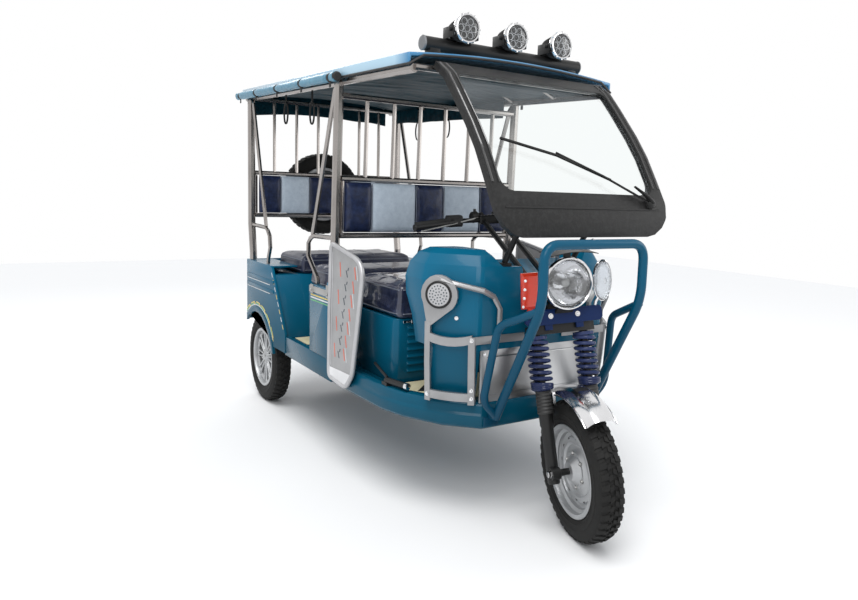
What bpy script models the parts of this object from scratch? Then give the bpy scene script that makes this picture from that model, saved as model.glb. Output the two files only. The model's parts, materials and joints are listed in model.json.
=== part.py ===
"""Electric rickshaw: a three-wheeled passenger vehicle with a tube canopy, two facing benches and a driver's seat.

Metres, +Z up, the front faces -Y, the driver's right is -X. Everything is drawn in the vehicle's own frame, whose
origin is on the floor midway between the axles, and hangs on the empty "vehicle", which puts the middle of the
whole box at the world's origin. The fork hangs on its own empty on the steering axis, and each wheel on one at
its centre.
"""

import math

import bmesh
import bpy
from mathutils import Matrix, Vector

# Overall sizes
VEHICLE_Y = -0.0779           # the axle midpoint, from the middle of the whole box
WHEELBASE = 2.085
REAR_AXLE = 1.070             # station of the rear axle
BODY_HALF_W = 0.490
HALF_TRACK = BODY_HALF_W - 0.070   # centre line to the middle of a rear tyre
TOUCH = 0.0003                # gap between pieces that seat on each other

# Wheels
TYRE_R = 0.245
TYRE_HALF_W = 0.0485
BEAD_R = 0.1524
FLANGE_R = 0.1620
RIM_HALF_W = 0.042
WHEEL_STEPS = 20              # the rim and its tyre share their facets
AXLE_R = 0.030
STUB_R = 0.012
RUNNING_GAP = 0.0006          # radial play of a shaft in its hub
MOVING_GAP = 0.007            # between pieces that turn past each other

# Steering
RAKE = math.radians(15.0)
REST_STEER = math.radians(-16.0)   # the wheel rests turned to the driver's right
TRAIL = 0.012
LEG_AHEAD = 0.035             # the legs stand ahead of the steering axis
LEG_X = 0.092
STEM_R = 0.016
BAR_R = 0.011
HEAD_TUBE_R = 0.027
CROWN_Z = (0.694, 0.724)      # lower crown, as heights on the steering axis
HEAD_TUBE_Z = (0.731, 0.797)
TOP_CROWN_Z = (0.804, 0.832)

# Body, stations from the axle midpoint
SKIN = 0.012
DECK_BOTTOM = 0.352
DECK_EDGE_Z = 0.400
DECK_TOP = 0.445
FLOOR_Z = 0.434
FLOOR_T = 0.010
DECK_FRONT = -0.772
DECK_REAR = 0.050
RAIL_X = (0.215, 0.255)       # chassis rails
RAIL_Z = (0.364, FLOOR_Z - FLOOR_T - TOUCH)
RAIL_Y = (-0.752, 1.300)
NECK_Y = (-0.7500, -0.7110)   # upright tube behind the steel panel
NECK_HALF_W = 0.020
NECK_TOP = 0.772
SPRING_X = 0.235              # leaf springs, under the rails
SPRING_HALF_W = 0.022
SPRING_EYES = (0.855, 1.283)
EYE_Z = 0.335
EYE_R = 0.013
PIN_R = 0.006
LEAF_T = 0.008
BODY_REAR = 1.250
BODY_TOP = 0.780
PLATE_SEAT = (0.200, 0.530, 0.710, 0.003)   # pressed seat of the number plate: half width, low, high, rise
TREAD_RISE = 0.003            # raised tread of the passengers' floor
FENDER_TOP_FRONT = 0.838
FENDER_LOW_FRONT = 0.627
SIDE_PANEL_Y = (0.055, 0.300)
SIDE_PANEL_TOP = 0.755
POST_FOOT_Z = 0.785
ARCH_R = 0.262
ARCH_X = (BODY_HALF_W - 0.140, BODY_HALF_W - 0.012)

# Seats
SEAT_BASE_HALF_W = 0.395
SEAT_BASE_Y = (-0.355, 0.040)
SEAT_BASE_TOP = 0.690
SEAT_CUSHION_TOP = 0.835
BENCH_HALF_W = BODY_HALF_W - 0.038
REAR_BENCH_HALF_W = ARCH_X[0] - 0.006
BATTERY_GAP = 0.084           # battery's side to the bench box's side, room for its straps and cables
NOSE_HALF_W = 0.268           # flat front of the deck, as wide as the steel panel that stands on it
BENCH_TOP = 0.735
BENCH_CUSHION_TOP = 0.835
FRONT_BENCH_Y = (0.106, 0.410)
REAR_BENCH_FACE = (0.640, 0.815)   # low and high front edge of the rear bench base
REAR_BENCH_BACK = 1.200

# Canopy
POST_X = BODY_HALF_W - 0.025
POST_R = 0.020
MIDDLE_Y = 0.080
REAR_Y = 1.262
MIDDLE_RAIL_Z = 1.580         # top rail of the middle grille
POST_LEAN = 0.024             # how far a middle post leans forward
ROOF_HALF_W = POST_X + 0.017
ROOF_FRONT = (-0.567, 1.645)
ROOF_REAR = (1.374, 1.719)
ROOF_T = 0.014
ROOF_CROWN = 0.026
RAIL_DROP = 0.034             # rail centre below the roof's edge
ROD_R = 0.0095
ROD_PITCH = 0.133
GRILLE_RAIL_R = 0.0125
MIDDLE_BACK_Z = (0.990, 1.235)
REAR_BACK_Z = (1.030, 1.270)
SPARE_Y = 1.362
SPARE_Z = 1.158
SPARE_STUD_R = 0.011
BACK_HALF_W = POST_X - 0.037
HAND_RAIL_R = 0.0105
SPARE_DISC_T = 0.005          # half the thickness of the spare's disc

# Windscreen
SCREEN_HALF_W = 0.390
SCREEN_OPEN_HALF_W = 0.348
SCREEN_T = 0.026
GLASS_T = 0.005
SCREEN_PROFILE = (            # station and height of the frame's outer face, top to bottom
    (-0.592, 1.640),
    (-0.660, 1.598),
    (-0.720, 1.532),
    (-0.811, 1.425),
    (-0.870, 1.345),
    (-0.925, 1.252),
    (-0.968, 1.175),
    (-0.988, 1.110),
    (-0.992, 1.052),
)

COWL_SADDLE_Z = 0.932         # level of the cowl between its two shoulders
STAY_X = 0.162                # feet of the windscreen's stays on the cowl
STAY_Y = -0.733
STAY_Z = 0.946
STAY_BEND_Y = -0.800          # the stays reach back over the headlamp's hood before they drop

# Bumper and lamps
BUMPER_R = 0.017
HOOP_X = 0.228
HOOP_Y = -1.026
HOOP_TOP = 1.031
HEADLAMP_R = 0.092
LAMP_Z = 0.850                # headlamp centre, height on the steering axis
LAMP_AHEAD = 0.160
YOKE_Z = (0.724, 0.776)
YOKE_AHEAD = 0.082
YOKE_HALF_W = 0.150

# Colours and finishes: rgb, roughness, metallic
FINISHES = {
    "blue": ((0.012, 0.16, 0.27), 0.32, 0.0),
    "navy": ((0.01, 0.03, 0.13), 0.45, 0.0),
    "black": ((0.012, 0.012, 0.014), 0.55, 0.0),
    "rubber": ((0.015, 0.015, 0.016), 0.85, 0.0),
    "steel": ((0.55, 0.55, 0.56), 0.30, 1.0),
    "chrome": ((0.75, 0.75, 0.77), 0.10, 1.0),
    "alloy": ((0.62, 0.63, 0.66), 0.28, 1.0),
    "cream": ((0.78, 0.74, 0.52), 0.70, 0.0),
    "seat": ((0.60, 0.66, 0.74), 0.45, 0.0),
    "dark_seat": ((0.012, 0.018, 0.050), 0.45, 0.0),
    "glass": ((0.70, 0.78, 0.80), 0.05, 0.0),
    "orange": ((0.85, 0.08, 0.03), 0.35, 0.0),
}

FRONT_AXLE = REAR_AXLE - WHEELBASE


# Scene and materials

def clear_scene():
    for obj in list(bpy.data.objects):
        bpy.data.objects.remove(obj, do_unlink=True)


def finish(name):
    """The Principled material of one finish, made once."""
    material = bpy.data.materials.get(name)
    if material is None:
        rgb, roughness, metallic = FINISHES[name]
        material = bpy.data.materials.new(name)
        material.use_nodes = True
        shader = material.node_tree.nodes["Principled BSDF"]
        shader.inputs["Base Color"].default_value = (*rgb, 1.0)
        shader.inputs["Roughness"].default_value = roughness
        shader.inputs["Metallic"].default_value = metallic
        material.diffuse_color = (*rgb, 1.0)
    return material


def empty(name, parent=None, matrix=None):
    obj = bpy.data.objects.new(name, None)
    bpy.context.collection.objects.link(obj)
    obj.parent = parent
    obj.matrix_local = matrix or Matrix()
    return obj


def node(name, mesh, look, parent, sharp=35.0):
    """One named piece. Its mesh is drawn in its parent's frame."""
    mesh.name = name
    mesh.materials.clear()
    mesh.materials.append(finish(look))
    mesh.shade_smooth()
    mesh.set_sharp_from_angle(angle=math.radians(sharp))
    obj = bpy.data.objects.new(name, mesh)
    bpy.context.collection.objects.link(obj)
    obj.parent = parent
    return obj


# Shapes: each returns a mesh

def to_mesh(bm, name="shape"):
    bmesh.ops.recalc_face_normals(bm, faces=bm.faces)
    mesh = bpy.data.meshes.new(name)
    bm.to_mesh(mesh)
    bm.free()
    return mesh


def loft(rings, closed_ends=True):
    """Joins rings of points, all of one length, by quads and caps the ends."""
    bm = bmesh.new()
    rows = [[bm.verts.new(point) for point in ring] for ring in rings]
    count = len(rows[0])
    for low, high in zip(rows, rows[1:]):
        for i in range(count):
            j = (i + 1) % count
            bm.faces.new((low[i], low[j], high[j], high[i]))
    if closed_ends:
        bm.faces.new(list(reversed(rows[0])))
        bm.faces.new(rows[-1])
    return to_mesh(bm)


def prism(outline, axis, low, high):
    """Extrudes an outline along X, Y or Z. Its points are the other two coordinates, in their order."""
    def place(a, b, c):
        return {"X": (c, a, b), "Y": (a, c, b), "Z": (a, b, c)}[axis]
    return loft([[place(a, b, level) for a, b in outline] for level in (low, high)])


def block(x, y, z, edge=0.0, segments=1):
    """A box from three (low, high) pairs, its edges chamfered or, with more segments, rounded."""
    bm = bmesh.new()
    bmesh.ops.create_cube(bm, size=1.0)
    for vert in bm.verts:
        for i, (low, high) in enumerate((x, y, z)):
            vert.co[i] = low if vert.co[i] < 0 else high
    if edge:
        bmesh.ops.bevel(bm, geom=bm.edges, offset=edge, segments=segments, affect="EDGES", profile=0.6)
    return to_mesh(bm)


def round_corners(points, radius, steps=4, closed=False):
    """Replaces the corners of a 2D or 3D path by arcs."""
    points = [Vector(p) for p in points]
    count = len(points)
    out = []
    for i, corner in enumerate(points):
        if not closed and i in (0, count - 1):
            out.append(corner)
            continue
        back = points[i - 1] - corner
        ahead = points[(i + 1) % count] - corner
        angle = back.angle(ahead)
        reach = min(radius / math.tan(angle / 2), 0.49 * back.length, 0.49 * ahead.length)
        if angle > math.radians(172):
            out.append(corner)
            continue
        start = corner + back.normalized() * reach
        end = corner + ahead.normalized() * reach
        middle = (back.normalized() + ahead.normalized()).normalized()
        centre = corner + middle * (reach / math.cos(angle / 2))
        for k in range(steps + 1):
            chord = start.lerp(end, k / steps) - centre
            out.append(centre + chord.normalized() * (start - centre).length)
    return out


def tube(points, radius, sides=10, bend=0.0, closed=False, steps=4):
    """A round bar swept along a path whose corners are bent to a radius."""
    path = round_corners(points, bend, steps, closed) if bend else [Vector(p) for p in points]
    count = len(path)
    rings = []
    normal = None
    for i, point in enumerate(path):
        before = path[i - 1] if closed or i else point
        after = path[(i + 1) % count] if closed or i < count - 1 else point
        ahead = (after - before).normalized()
        if normal is None:
            normal = ahead.orthogonal().normalized()
        normal = (normal - ahead * normal.dot(ahead)).normalized()
        side = ahead.cross(normal)
        corner = 1.0
        if before is not point and after is not point:
            half_turn = (point - before).angle(after - point) / 2
            corner = 1.0 / max(0.5, math.cos(half_turn))
        ring = []
        for k in range(sides):
            turn = math.tau * (k + 0.5) / sides
            ring.append(point + (normal * math.cos(turn) * corner + side * math.sin(turn)) * radius)
        rings.append(ring)
    if closed:
        return loft(rings + [rings[0]], closed_ends=False)
    return loft(rings)


def rod(a, b, radius, sides=10):
    return tube((a, b), radius, sides)


def turned(profile, steps, centre=(0, 0, 0), axis=(1, 0, 0), start=0.0):
    """Spins a closed profile of (along the axis, radius) points. Points at radius 0 close on the axis."""
    along = Vector(axis).normalized()
    up = Vector((0, 0, -1)) if abs(along.z) < 0.9 else Vector((0, -1, 0))
    up = (up - along * up.dot(along)).normalized()
    side = along.cross(up)
    centre = Vector(centre)
    bm = bmesh.new()
    hubs = {i: bm.verts.new(centre + along * t) for i, (t, r) in enumerate(profile) if r < 1e-9}
    rows = []
    for k in range(steps):
        turn = start + math.tau * k / steps
        spoke = up * math.cos(turn) + side * math.sin(turn)
        rows.append([hubs.get(i) or bm.verts.new(centre + along * t + spoke * r) for i, (t, r) in enumerate(profile)])
    for k in range(steps):
        row, after = rows[k], rows[(k + 1) % steps]
        for i in range(len(profile)):
            j = (i + 1) % len(profile)
            corners = [row[i], row[j], after[j], after[i]]
            face = [v for n, v in enumerate(corners) if v not in corners[:n]]
            if len(face) > 2:
                bm.faces.new(face)
    return to_mesh(bm)


def moved(mesh, matrix):
    mesh = mesh.copy()
    mesh.transform(matrix)
    if matrix.determinant() < 0:
        mesh.flip_normals()
    return mesh


def mirrored(mesh):
    return moved(mesh, Matrix.Scale(-1, 4, (1, 0, 0)))


def combine(base, others, operation):
    """Exact Boolean of a mesh with a list of meshes."""
    tools = bpy.data.collections.new("tools")
    bpy.context.scene.collection.children.link(tools)
    body = bpy.data.objects.new("body", base)
    bpy.context.scene.collection.objects.link(body)
    made = []
    for mesh in others:
        obj = bpy.data.objects.new("tool", mesh)
        tools.objects.link(obj)
        made.append(obj)
    boolean = body.modifiers.new("join", "BOOLEAN")
    boolean.operation = operation
    boolean.solver = "EXACT"
    boolean.operand_type = "COLLECTION"
    boolean.collection = tools
    graph = bpy.context.evaluated_depsgraph_get()
    result = bpy.data.meshes.new_from_object(body.evaluated_get(graph))
    for obj in made + [body]:
        bpy.data.objects.remove(obj, do_unlink=True)
    bpy.data.collections.remove(tools)
    return result


def fuse(*meshes):
    return combine(meshes[0], meshes[1:], "UNION")


def cut(mesh, *cutters):
    return combine(mesh, cutters, "DIFFERENCE")


def both(maker):
    """The driver's right piece and its mirror image on the left."""
    right = maker()
    return {"right": right, "left": mirrored(right)}


def arc(centre, radius, start, end, steps):
    """Points on an arc, angles in degrees from +first axis towards +second axis."""
    return [(centre[0] + radius * math.cos(math.radians(start + (end - start) * k / steps)),
             centre[1] + radius * math.sin(math.radians(start + (end - start) * k / steps)))
            for k in range(steps + 1)]


# Wheels: drawn about their own centre, spinning about X

def tyre_profile():
    """Half of the tyre's section, from the bead outwards to the tread."""
    half_bead = RIM_HALF_W - 0.0057
    return ((half_bead, BEAD_R + TOUCH), (half_bead, FLANGE_R + 0.001), (TYRE_HALF_W - 0.004, FLANGE_R + 0.008),
            (TYRE_HALF_W, FLANGE_R + 0.032), (TYRE_HALF_W - 0.006, TYRE_R - 0.014), (TYRE_HALF_W - 0.024, TYRE_R - 0.001))


def tyre_mesh():
    half = tyre_profile()
    return turned([*half, (0.0, TYRE_R), *[(-t, r) for t, r in reversed(half)]], WHEEL_STEPS)


def channel_outer():
    """Outer side of the rolled rim channel, from its -X flange to its +X flange."""
    return [(-RIM_HALF_W, FLANGE_R), (-RIM_HALF_W + 0.005, FLANGE_R), (-RIM_HALF_W + 0.005, BEAD_R),
            (-0.014, BEAD_R - 0.014), (0.014, BEAD_R - 0.014), (RIM_HALF_W - 0.005, BEAD_R),
            (RIM_HALF_W - 0.005, FLANGE_R), (RIM_HALF_W, FLANGE_R)]


def spoke_rim(out):
    """Rear rim: channel, hub with its brake drum, and spokes. out is +1 or -1, towards the outer side."""
    bore = STUB_R + RUNNING_GAP
    inner = [(RIM_HALF_W, BEAD_R - 0.006), (0.018, BEAD_R - 0.020), (-0.018, BEAD_R - 0.020), (-RIM_HALF_W, BEAD_R - 0.006)]
    ring = turned(channel_outer() + inner, WHEEL_STEPS)
    drum = [(-0.058, bore), (-0.058, 0.086), (-0.024, 0.086), (-0.020, 0.050), (0.036, 0.034), (0.036, bore)]
    pieces = [ring, turned([(t * out, r) for t, r in drum], 12)]
    spokes = 8
    outline = [(-0.0075, 0.036), (0.0075, 0.036), (0.0115, 0.136), (-0.0115, 0.136)]
    for k in range(spokes):
        spoke = prism(outline, "X", *sorted((out * 0.004, out * 0.026)))
        pieces.append(moved(spoke, Matrix.Rotation(math.tau * k / spokes, 4, "X")))
    return fuse(*pieces)


def disc_rim():
    """Front rim: channel, pressed disc with round windows and a drum hub, turned in one outline."""
    bore = STUB_R + RUNNING_GAP
    outline = channel_outer() + [
        (RIM_HALF_W, BEAD_R - 0.006), (0.014, BEAD_R - 0.020), (0.009, 0.117), (0.017, 0.092), (0.018, 0.060),
        (0.040, 0.030), (0.040, bore), (-0.046, bore), (-0.040, 0.060), (0.009, 0.090), (0.001, 0.116),
        (-0.014, BEAD_R - 0.020), (-RIM_HALF_W, BEAD_R - 0.006)]
    disc = turned(outline, WHEEL_STEPS)
    windows = []
    for k in range(7):
        hole = turned([(-0.02, 0.0), (0.04, 0.0), (0.04, 0.0090), (-0.02, 0.0090)], 6, (0, 0, 0.1045))
        windows.append(moved(hole, Matrix.Rotation(math.tau * (k + 0.29) / 7, 4, "X")))
    return cut(disc, *windows)


def spare_wheel_mesh():
    """Spare wheel, tyre on rim, turned about Y in one outline with a centre hole for its stud."""
    half = tyre_profile()[1:]
    hole = SPARE_STUD_R + RUNNING_GAP
    face = [(-t, r) for t, r in reversed(half)]
    outline = [*half, (0.0, TYRE_R), *face, (-0.018, BEAD_R - 0.022), (-SPARE_DISC_T, 0.110), (-SPARE_DISC_T, hole),
               (SPARE_DISC_T, hole), (SPARE_DISC_T, 0.110), (0.018, BEAD_R - 0.022)]
    return turned(outline, WHEEL_STEPS, (0.0, SPARE_Y, SPARE_Z), (0, 1, 0))


# Steering geometry

AXIS = Vector((0.0, math.sin(RAKE), math.cos(RAKE)))       # up along the fork
AXIS_FOOT = Vector((0.0, FRONT_AXLE - TRAIL, 0.0))         # where the axis meets the floor
ACROSS = Vector((0.0, -math.cos(RAKE), math.sin(RAKE)))    # ahead of the axis, square to it


def on_axis(height, ahead=0.0, side=0.0):
    """A point at a height on the steering axis, then ahead of it and to one side."""
    return AXIS_FOOT + AXIS * (height / AXIS.z) + ACROSS * ahead + Vector((side, 0.0, 0.0))


def axle_height(tyre):
    """Height of the front axle, wheel straight, at which the turned wheel just touches the floor."""
    turn = Matrix.Rotation(REST_STEER, 3, AXIS)
    lowest = min((turn @ v.co).z for v in tyre.vertices)
    return (-lowest - turn[2][1] * (FRONT_AXLE - AXIS_FOOT.y)) / turn[2][2]


# Steering body: drawn with the wheel straight

def crown(height, thickness, outline):
    """A fork crown: a plate square to the steering axis, from its (side, ahead) half outline, front first."""
    ring = list(outline) + [(-x, a) for x, a in reversed(outline)]
    return loft([[on_axis(height, a, x) + AXIS * level for x, a in ring] for level in (0.0, thickness / AXIS.z)])


def fork_mesh(axle_z):
    """Stem, crowns, legs and the lugs that hold the axle ahead of the legs."""
    axle = Vector((0.0, FRONT_AXLE, axle_z))
    lead = (axle - AXIS_FOOT).dot(ACROSS) - LEG_AHEAD
    axle_on_axis = (axle - AXIS_FOOT).dot(AXIS) * AXIS.z
    pieces = [rod(on_axis(CROWN_Z[0] + 0.006), on_axis(TOP_CROWN_Z[1] - 0.004), STEM_R, 12),
              crown(CROWN_Z[0], CROWN_Z[1] - CROWN_Z[0], ((0.100, 0.074), (0.126, 0.060), (0.126, 0.022), (0.058, -0.026))),
              crown(TOP_CROWN_Z[0], TOP_CROWN_Z[1] - TOP_CROWN_Z[0], ((0.045, 0.036), (0.062, 0.022), (0.062, -0.014),
                                                                     (0.040, -0.026)))]
    for side in (-LEG_X, LEG_X):
        inner = rod(on_axis(0.420, LEG_AHEAD, side), on_axis(CROWN_Z[0] + 0.010, LEG_AHEAD, side), 0.014, 8)
        boot = rod(on_axis(0.428, LEG_AHEAD, side), on_axis(0.505, LEG_AHEAD, side), 0.029, 12)
        leg = rod(on_axis(axle_on_axis - 0.035, LEG_AHEAD, side), on_axis(0.440, LEG_AHEAD, side), 0.0215, 10)
        outward = math.copysign(1.0, side)
        lug = turned([(-0.016, 0.0), (0.016, 0.0), (0.016, 0.022), (-0.016, 0.022)], 12, axle + Vector((side, 0, 0)))
        web = loft([[axle + Vector((side + dx, 0, 0)) + ACROSS * a + AXIS * b
                     for a, b in ((0.0, -0.018), (0.0, 0.018), (-lead, 0.030), (-lead, -0.026))]
                    for dx in (-0.012, 0.012)])
        nut = turned([(0.0, 0.0), (0.014, 0.0), (0.014, 0.012), (0.0, 0.012)], 6,
                     axle + Vector((side + outward * 0.014, 0, 0)), (outward, 0, 0))
        pieces += [inner, boot, leg, lug, web, nut]
    pieces.append(rod(axle - Vector((LEG_X, 0, 0)), axle + Vector((LEG_X, 0, 0)), STUB_R, 10))
    return fuse(*pieces)


def yoke_plate():
    """The folded plate bolted on the front of the lower crown, which carries the lamps."""
    front, height = YOKE_AHEAD, YOKE_Z
    w = YOKE_HALF_W
    outline = [(-w, height[0] + 0.012), (-w + 0.012, height[0]), (w - 0.012, height[0]), (w, height[0] + 0.012),
               (w, height[1] - 0.010), (w - 0.010, height[1]), (-w + 0.010, height[1]), (-w, height[1] - 0.010)]
    plate = loft([[on_axis(z, a, x) for x, z in outline] for a in (front, front + 0.008)])
    shelf = loft([[on_axis(height[1] - 0.010, a, x) for x, a in
                   ((-0.110, front - 0.004), (0.110, front - 0.004), (0.110, front + 0.004), (-0.110, front + 0.004))],
                  [on_axis(height[1], a, x) for x, a in
                   ((-0.110, front - 0.004), (0.110, front - 0.004), (0.110, front + 0.004), (-0.110, front + 0.004))]])
    feet = [loft([[on_axis(z, a, x + dx) for dx, z in ((-0.014, 0.706), (0.014, 0.706), (0.014, 0.745), (-0.014, 0.745))]
                  for a in (0.0743, front + 0.002)]) for x in (-0.06, 0.06)]
    return fuse(plate, shelf, *feet)


def spring_mesh(side):
    """A coil spring round the inner tube, with its top and bottom cups."""
    wire, radius, low, high, turns = 0.0056, 0.0345, 0.520, 0.684, 6
    count = turns * 6
    start, end = on_axis(low, LEG_AHEAD, side), on_axis(high, LEG_AHEAD, side)
    path = []
    for k in range(count + 1):
        turn = math.tau * turns * k / count
        centre = start.lerp(end, k / count)
        path.append(centre + Vector((math.cos(turn), 0, 0)) * radius + ACROSS * math.sin(turn) * radius)
    coil = tube(path, wire, 5)
    bore = 0.0152
    foot = on_axis(0.5057, LEG_AHEAD, side)
    bottom = turned([(0.0, bore), (0.0, 0.030), (0.006, 0.041), (0.024, 0.041), (0.018, bore)], 8, foot, AXIS)
    top = turned([(0.0, bore), (-0.004, 0.038), (0.008, 0.038), (0.0105, bore)], 8, on_axis(0.682, LEG_AHEAD, side), AXIS)
    return fuse(coil, bottom, top)


def bar_path(clamp, width):
    """Centre line of the bar: level at the clamp, its ends swept back and down."""
    half = ((0.075, 0.0, 0.0), (0.190, 0.012, 0.0), (width, 0.030, -0.014))
    points = [(-x, y, z) for x, y, z in reversed(half)] + list(half)
    return [Vector(p) + clamp for p in points]


def handlebar_mesh():
    """Two pipes pulled back from the top crown to the clamp, and the bar."""
    back, rise, width = 0.600, 0.235, 0.330
    root_z = TOP_CROWN_Z[1] + 0.018
    top_crown_y = on_axis(TOP_CROWN_Z[1]).y
    clamp = Vector((0.0, top_crown_y + back, root_z + rise - 0.012))
    pieces = []
    for x in (-0.038, 0.038):
        pieces.append(tube(((x, top_crown_y - 0.014, root_z), (x, top_crown_y + 0.050, root_z),
                            (x, clamp.y, clamp.z)), 0.012, 8, bend=0.06, steps=2))
    saddle = ((-0.055, -0.030), (0.055, -0.030), (0.055, 0.026), (-0.055, 0.026))
    pieces.append(loft([[on_axis(z, a, x) for x, a in saddle] for z in (TOP_CROWN_Z[1] + TOUCH, TOP_CROWN_Z[1] + 0.034)]))
    pieces.append(tube(bar_path(clamp, width), BAR_R, 8))
    pieces.append(block((-0.056, 0.056), (clamp.y - 0.020, clamp.y + 0.022), (clamp.z - 0.018, clamp.z + 0.020), 0.005))
    return fuse(*pieces), clamp, width


def grip_mesh(clamp, width, side):
    """Rubber grip with its flange, switch housing, lever perch and brake lever, on one end of the bar."""
    path = bar_path(clamp, width)
    inner, end = (path[1], path[0]) if side < 0 else (path[4], path[5])
    along = (end - inner).normalized()
    length = (end - inner).length
    grip = turned([(0.008, 0.0), (0.008, 0.024), (0.014, 0.024), (0.018, 0.0165), (length, 0.0180),
                   (length + 0.008, 0.0190), (length + 0.008, 0.0)], 10, inner, along)
    seat = inner - Vector((side * 0.022, 0.0, 0.0))
    housing = block((seat.x - 0.034, seat.x + 0.034), (seat.y - 0.028, seat.y + 0.024), (seat.z - 0.024, seat.z + 0.026),
                    0.006)
    perch = block((seat.x - 0.016, seat.x + 0.016), (seat.y - 0.048, seat.y - 0.020), (seat.z - 0.012, seat.z + 0.012))
    lever = tube((seat + Vector((-side * 0.010, -0.040, 0.0)), seat + Vector((side * 0.040, -0.062, -0.002)),
                  seat + Vector((side * 0.190, -0.036, -0.016))), 0.0058, 6)
    beyond = [path[0] + (path[0] - path[1]).normalized() * 0.001, path[5] + (path[5] - path[4]).normalized() * 0.001]
    bore = tube([beyond[0], *path[1:5], beyond[1]], BAR_R + RUNNING_GAP, 8)
    return cut(fuse(grip, housing, perch, lever), bore)


def lamp_profile(radius, depth):
    """Domed lens, rim and bowl, along the way the lamp faces."""
    return [(0.012, 0.0), (0.008, radius * 0.60), (0.0, radius - 0.012), (0.003, radius - 0.002), (-0.012, radius),
            (-0.024, radius - 0.004), (-0.045, radius * 0.86), (-depth * 0.8, radius * 0.48), (-depth, radius * 0.34),
            (-depth, 0.0)]


def yoke_seat(side, half_w):
    """Corners of a foot on the yoke plate's top edge, as (side, ahead) pairs."""
    near, far = YOKE_AHEAD - 0.003, YOKE_AHEAD + 0.008
    return ((side - half_w, near), (side + half_w, near), (side + half_w, far), (side - half_w, far))


def headlamp_mesh():
    """Headlamp on its bracket over the yoke plate, with the flat hood above it."""
    centre = on_axis(LAMP_Z, LAMP_AHEAD)
    lamp = turned(lamp_profile(HEADLAMP_R, 0.085), 18, centre, (0, -1, 0))
    bracket = loft([[on_axis(YOKE_Z[1] + TOUCH, a, x) for x, a in yoke_seat(0.0, 0.035)],
                    [(x, centre.y + y, centre.z - HEADLAMP_R + 0.016) for x, y in
                     ((-0.030, 0.034), (0.030, 0.034), (0.030, 0.012), (-0.030, 0.012))]])
    top = centre.z + HEADLAMP_R
    hood = prism([(centre.y - 0.046, top + 0.018), (centre.y + 0.060, top + 0.024), (centre.y + 0.060, top + 0.028),
                  (centre.y - 0.048, top + 0.023)], "X", -0.080, 0.080)
    stay = block((-0.012, 0.012), (centre.y + 0.010, centre.y + 0.022), (top - 0.010, top + 0.024))
    return fuse(lamp, bracket, hood, stay)


def side_lamp_mesh(side, half_w, half_h, corners):
    """A small lamp on a stalk from the end of the yoke plate: oval on the left, square on the right."""
    seat_x = side * (YOKE_HALF_W - 0.024)
    seat = on_axis(YOKE_Z[1] + TOUCH, YOKE_AHEAD, seat_x)
    centre = Vector((seat_x + side * 0.014, seat.y - 0.034, seat.z + half_h + 0.016))
    rings = []
    count = corners * 4
    for share, y in ((0.80, 0.012), (1.0, 0.004), (1.0, -0.006), (0.84, -0.016), (0.45, -0.021)):
        reach = share / math.cos(math.pi / count)
        turns = [math.tau * (k + 0.5) / count for k in range(count)]
        rings.append([(centre.x + half_w * reach * math.cos(t), centre.y + y, centre.z + half_h * reach * math.sin(t))
                      for t in turns])
    stalk = loft([[on_axis(YOKE_Z[1] + TOUCH, a, x) for x, a in yoke_seat(seat_x, 0.010)],
                  [(seat_x + x, centre.y + y, centre.z - half_h * 0.55) for x, y in
                   ((-0.009, 0.008), (0.009, 0.008), (0.009, 0.0), (-0.009, 0.0))]])
    return fuse(loft(rings), stalk)


def mudguard_mesh(axle_z):
    """Chrome guard over the top of the front wheel, with its stays to the fork legs."""
    centre = Vector((0.0, FRONT_AXLE, axle_z))
    radius, thickness, half_w = 0.283, 0.003, 0.0595
    section = ((-half_w, -0.020), (-half_w + 0.004, -0.006), (-half_w * 0.6, 0.004), (0.0, 0.009), (half_w * 0.6, 0.004),
               (half_w - 0.004, -0.006), (half_w, -0.020))
    start, end, steps = -24.0, 40.0, 9
    rings = []
    for k in range(steps + 1):
        angle = math.radians(start + (end - start) * k / steps)
        outward = Vector((0, math.sin(angle), math.cos(angle)))
        outer = [centre + outward * (radius + thickness + dr) + Vector((x, 0, 0)) for x, dr in section]
        inner = [centre + outward * (radius + dr) + Vector((x * 0.96, 0, 0)) for x, dr in reversed(section)]
        rings.append(outer + inner)
    pieces = [loft(rings)]
    for side in (-1, 1):
        foot = on_axis(0.468, LEG_AHEAD, side * (LEG_X - 0.029 - TOUCH))
        pieces.append(loft([[foot + Vector((-side * a, 0, 0)) + ACROSS * b + AXIS * c for b, c in
                             ((0.012, -0.012), (0.012, 0.030), (-0.012, 0.030), (-0.012, -0.012))] for a in (0.0, 0.010)]))
    return fuse(*pieces)


# Root body: chassis and running gear

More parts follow.
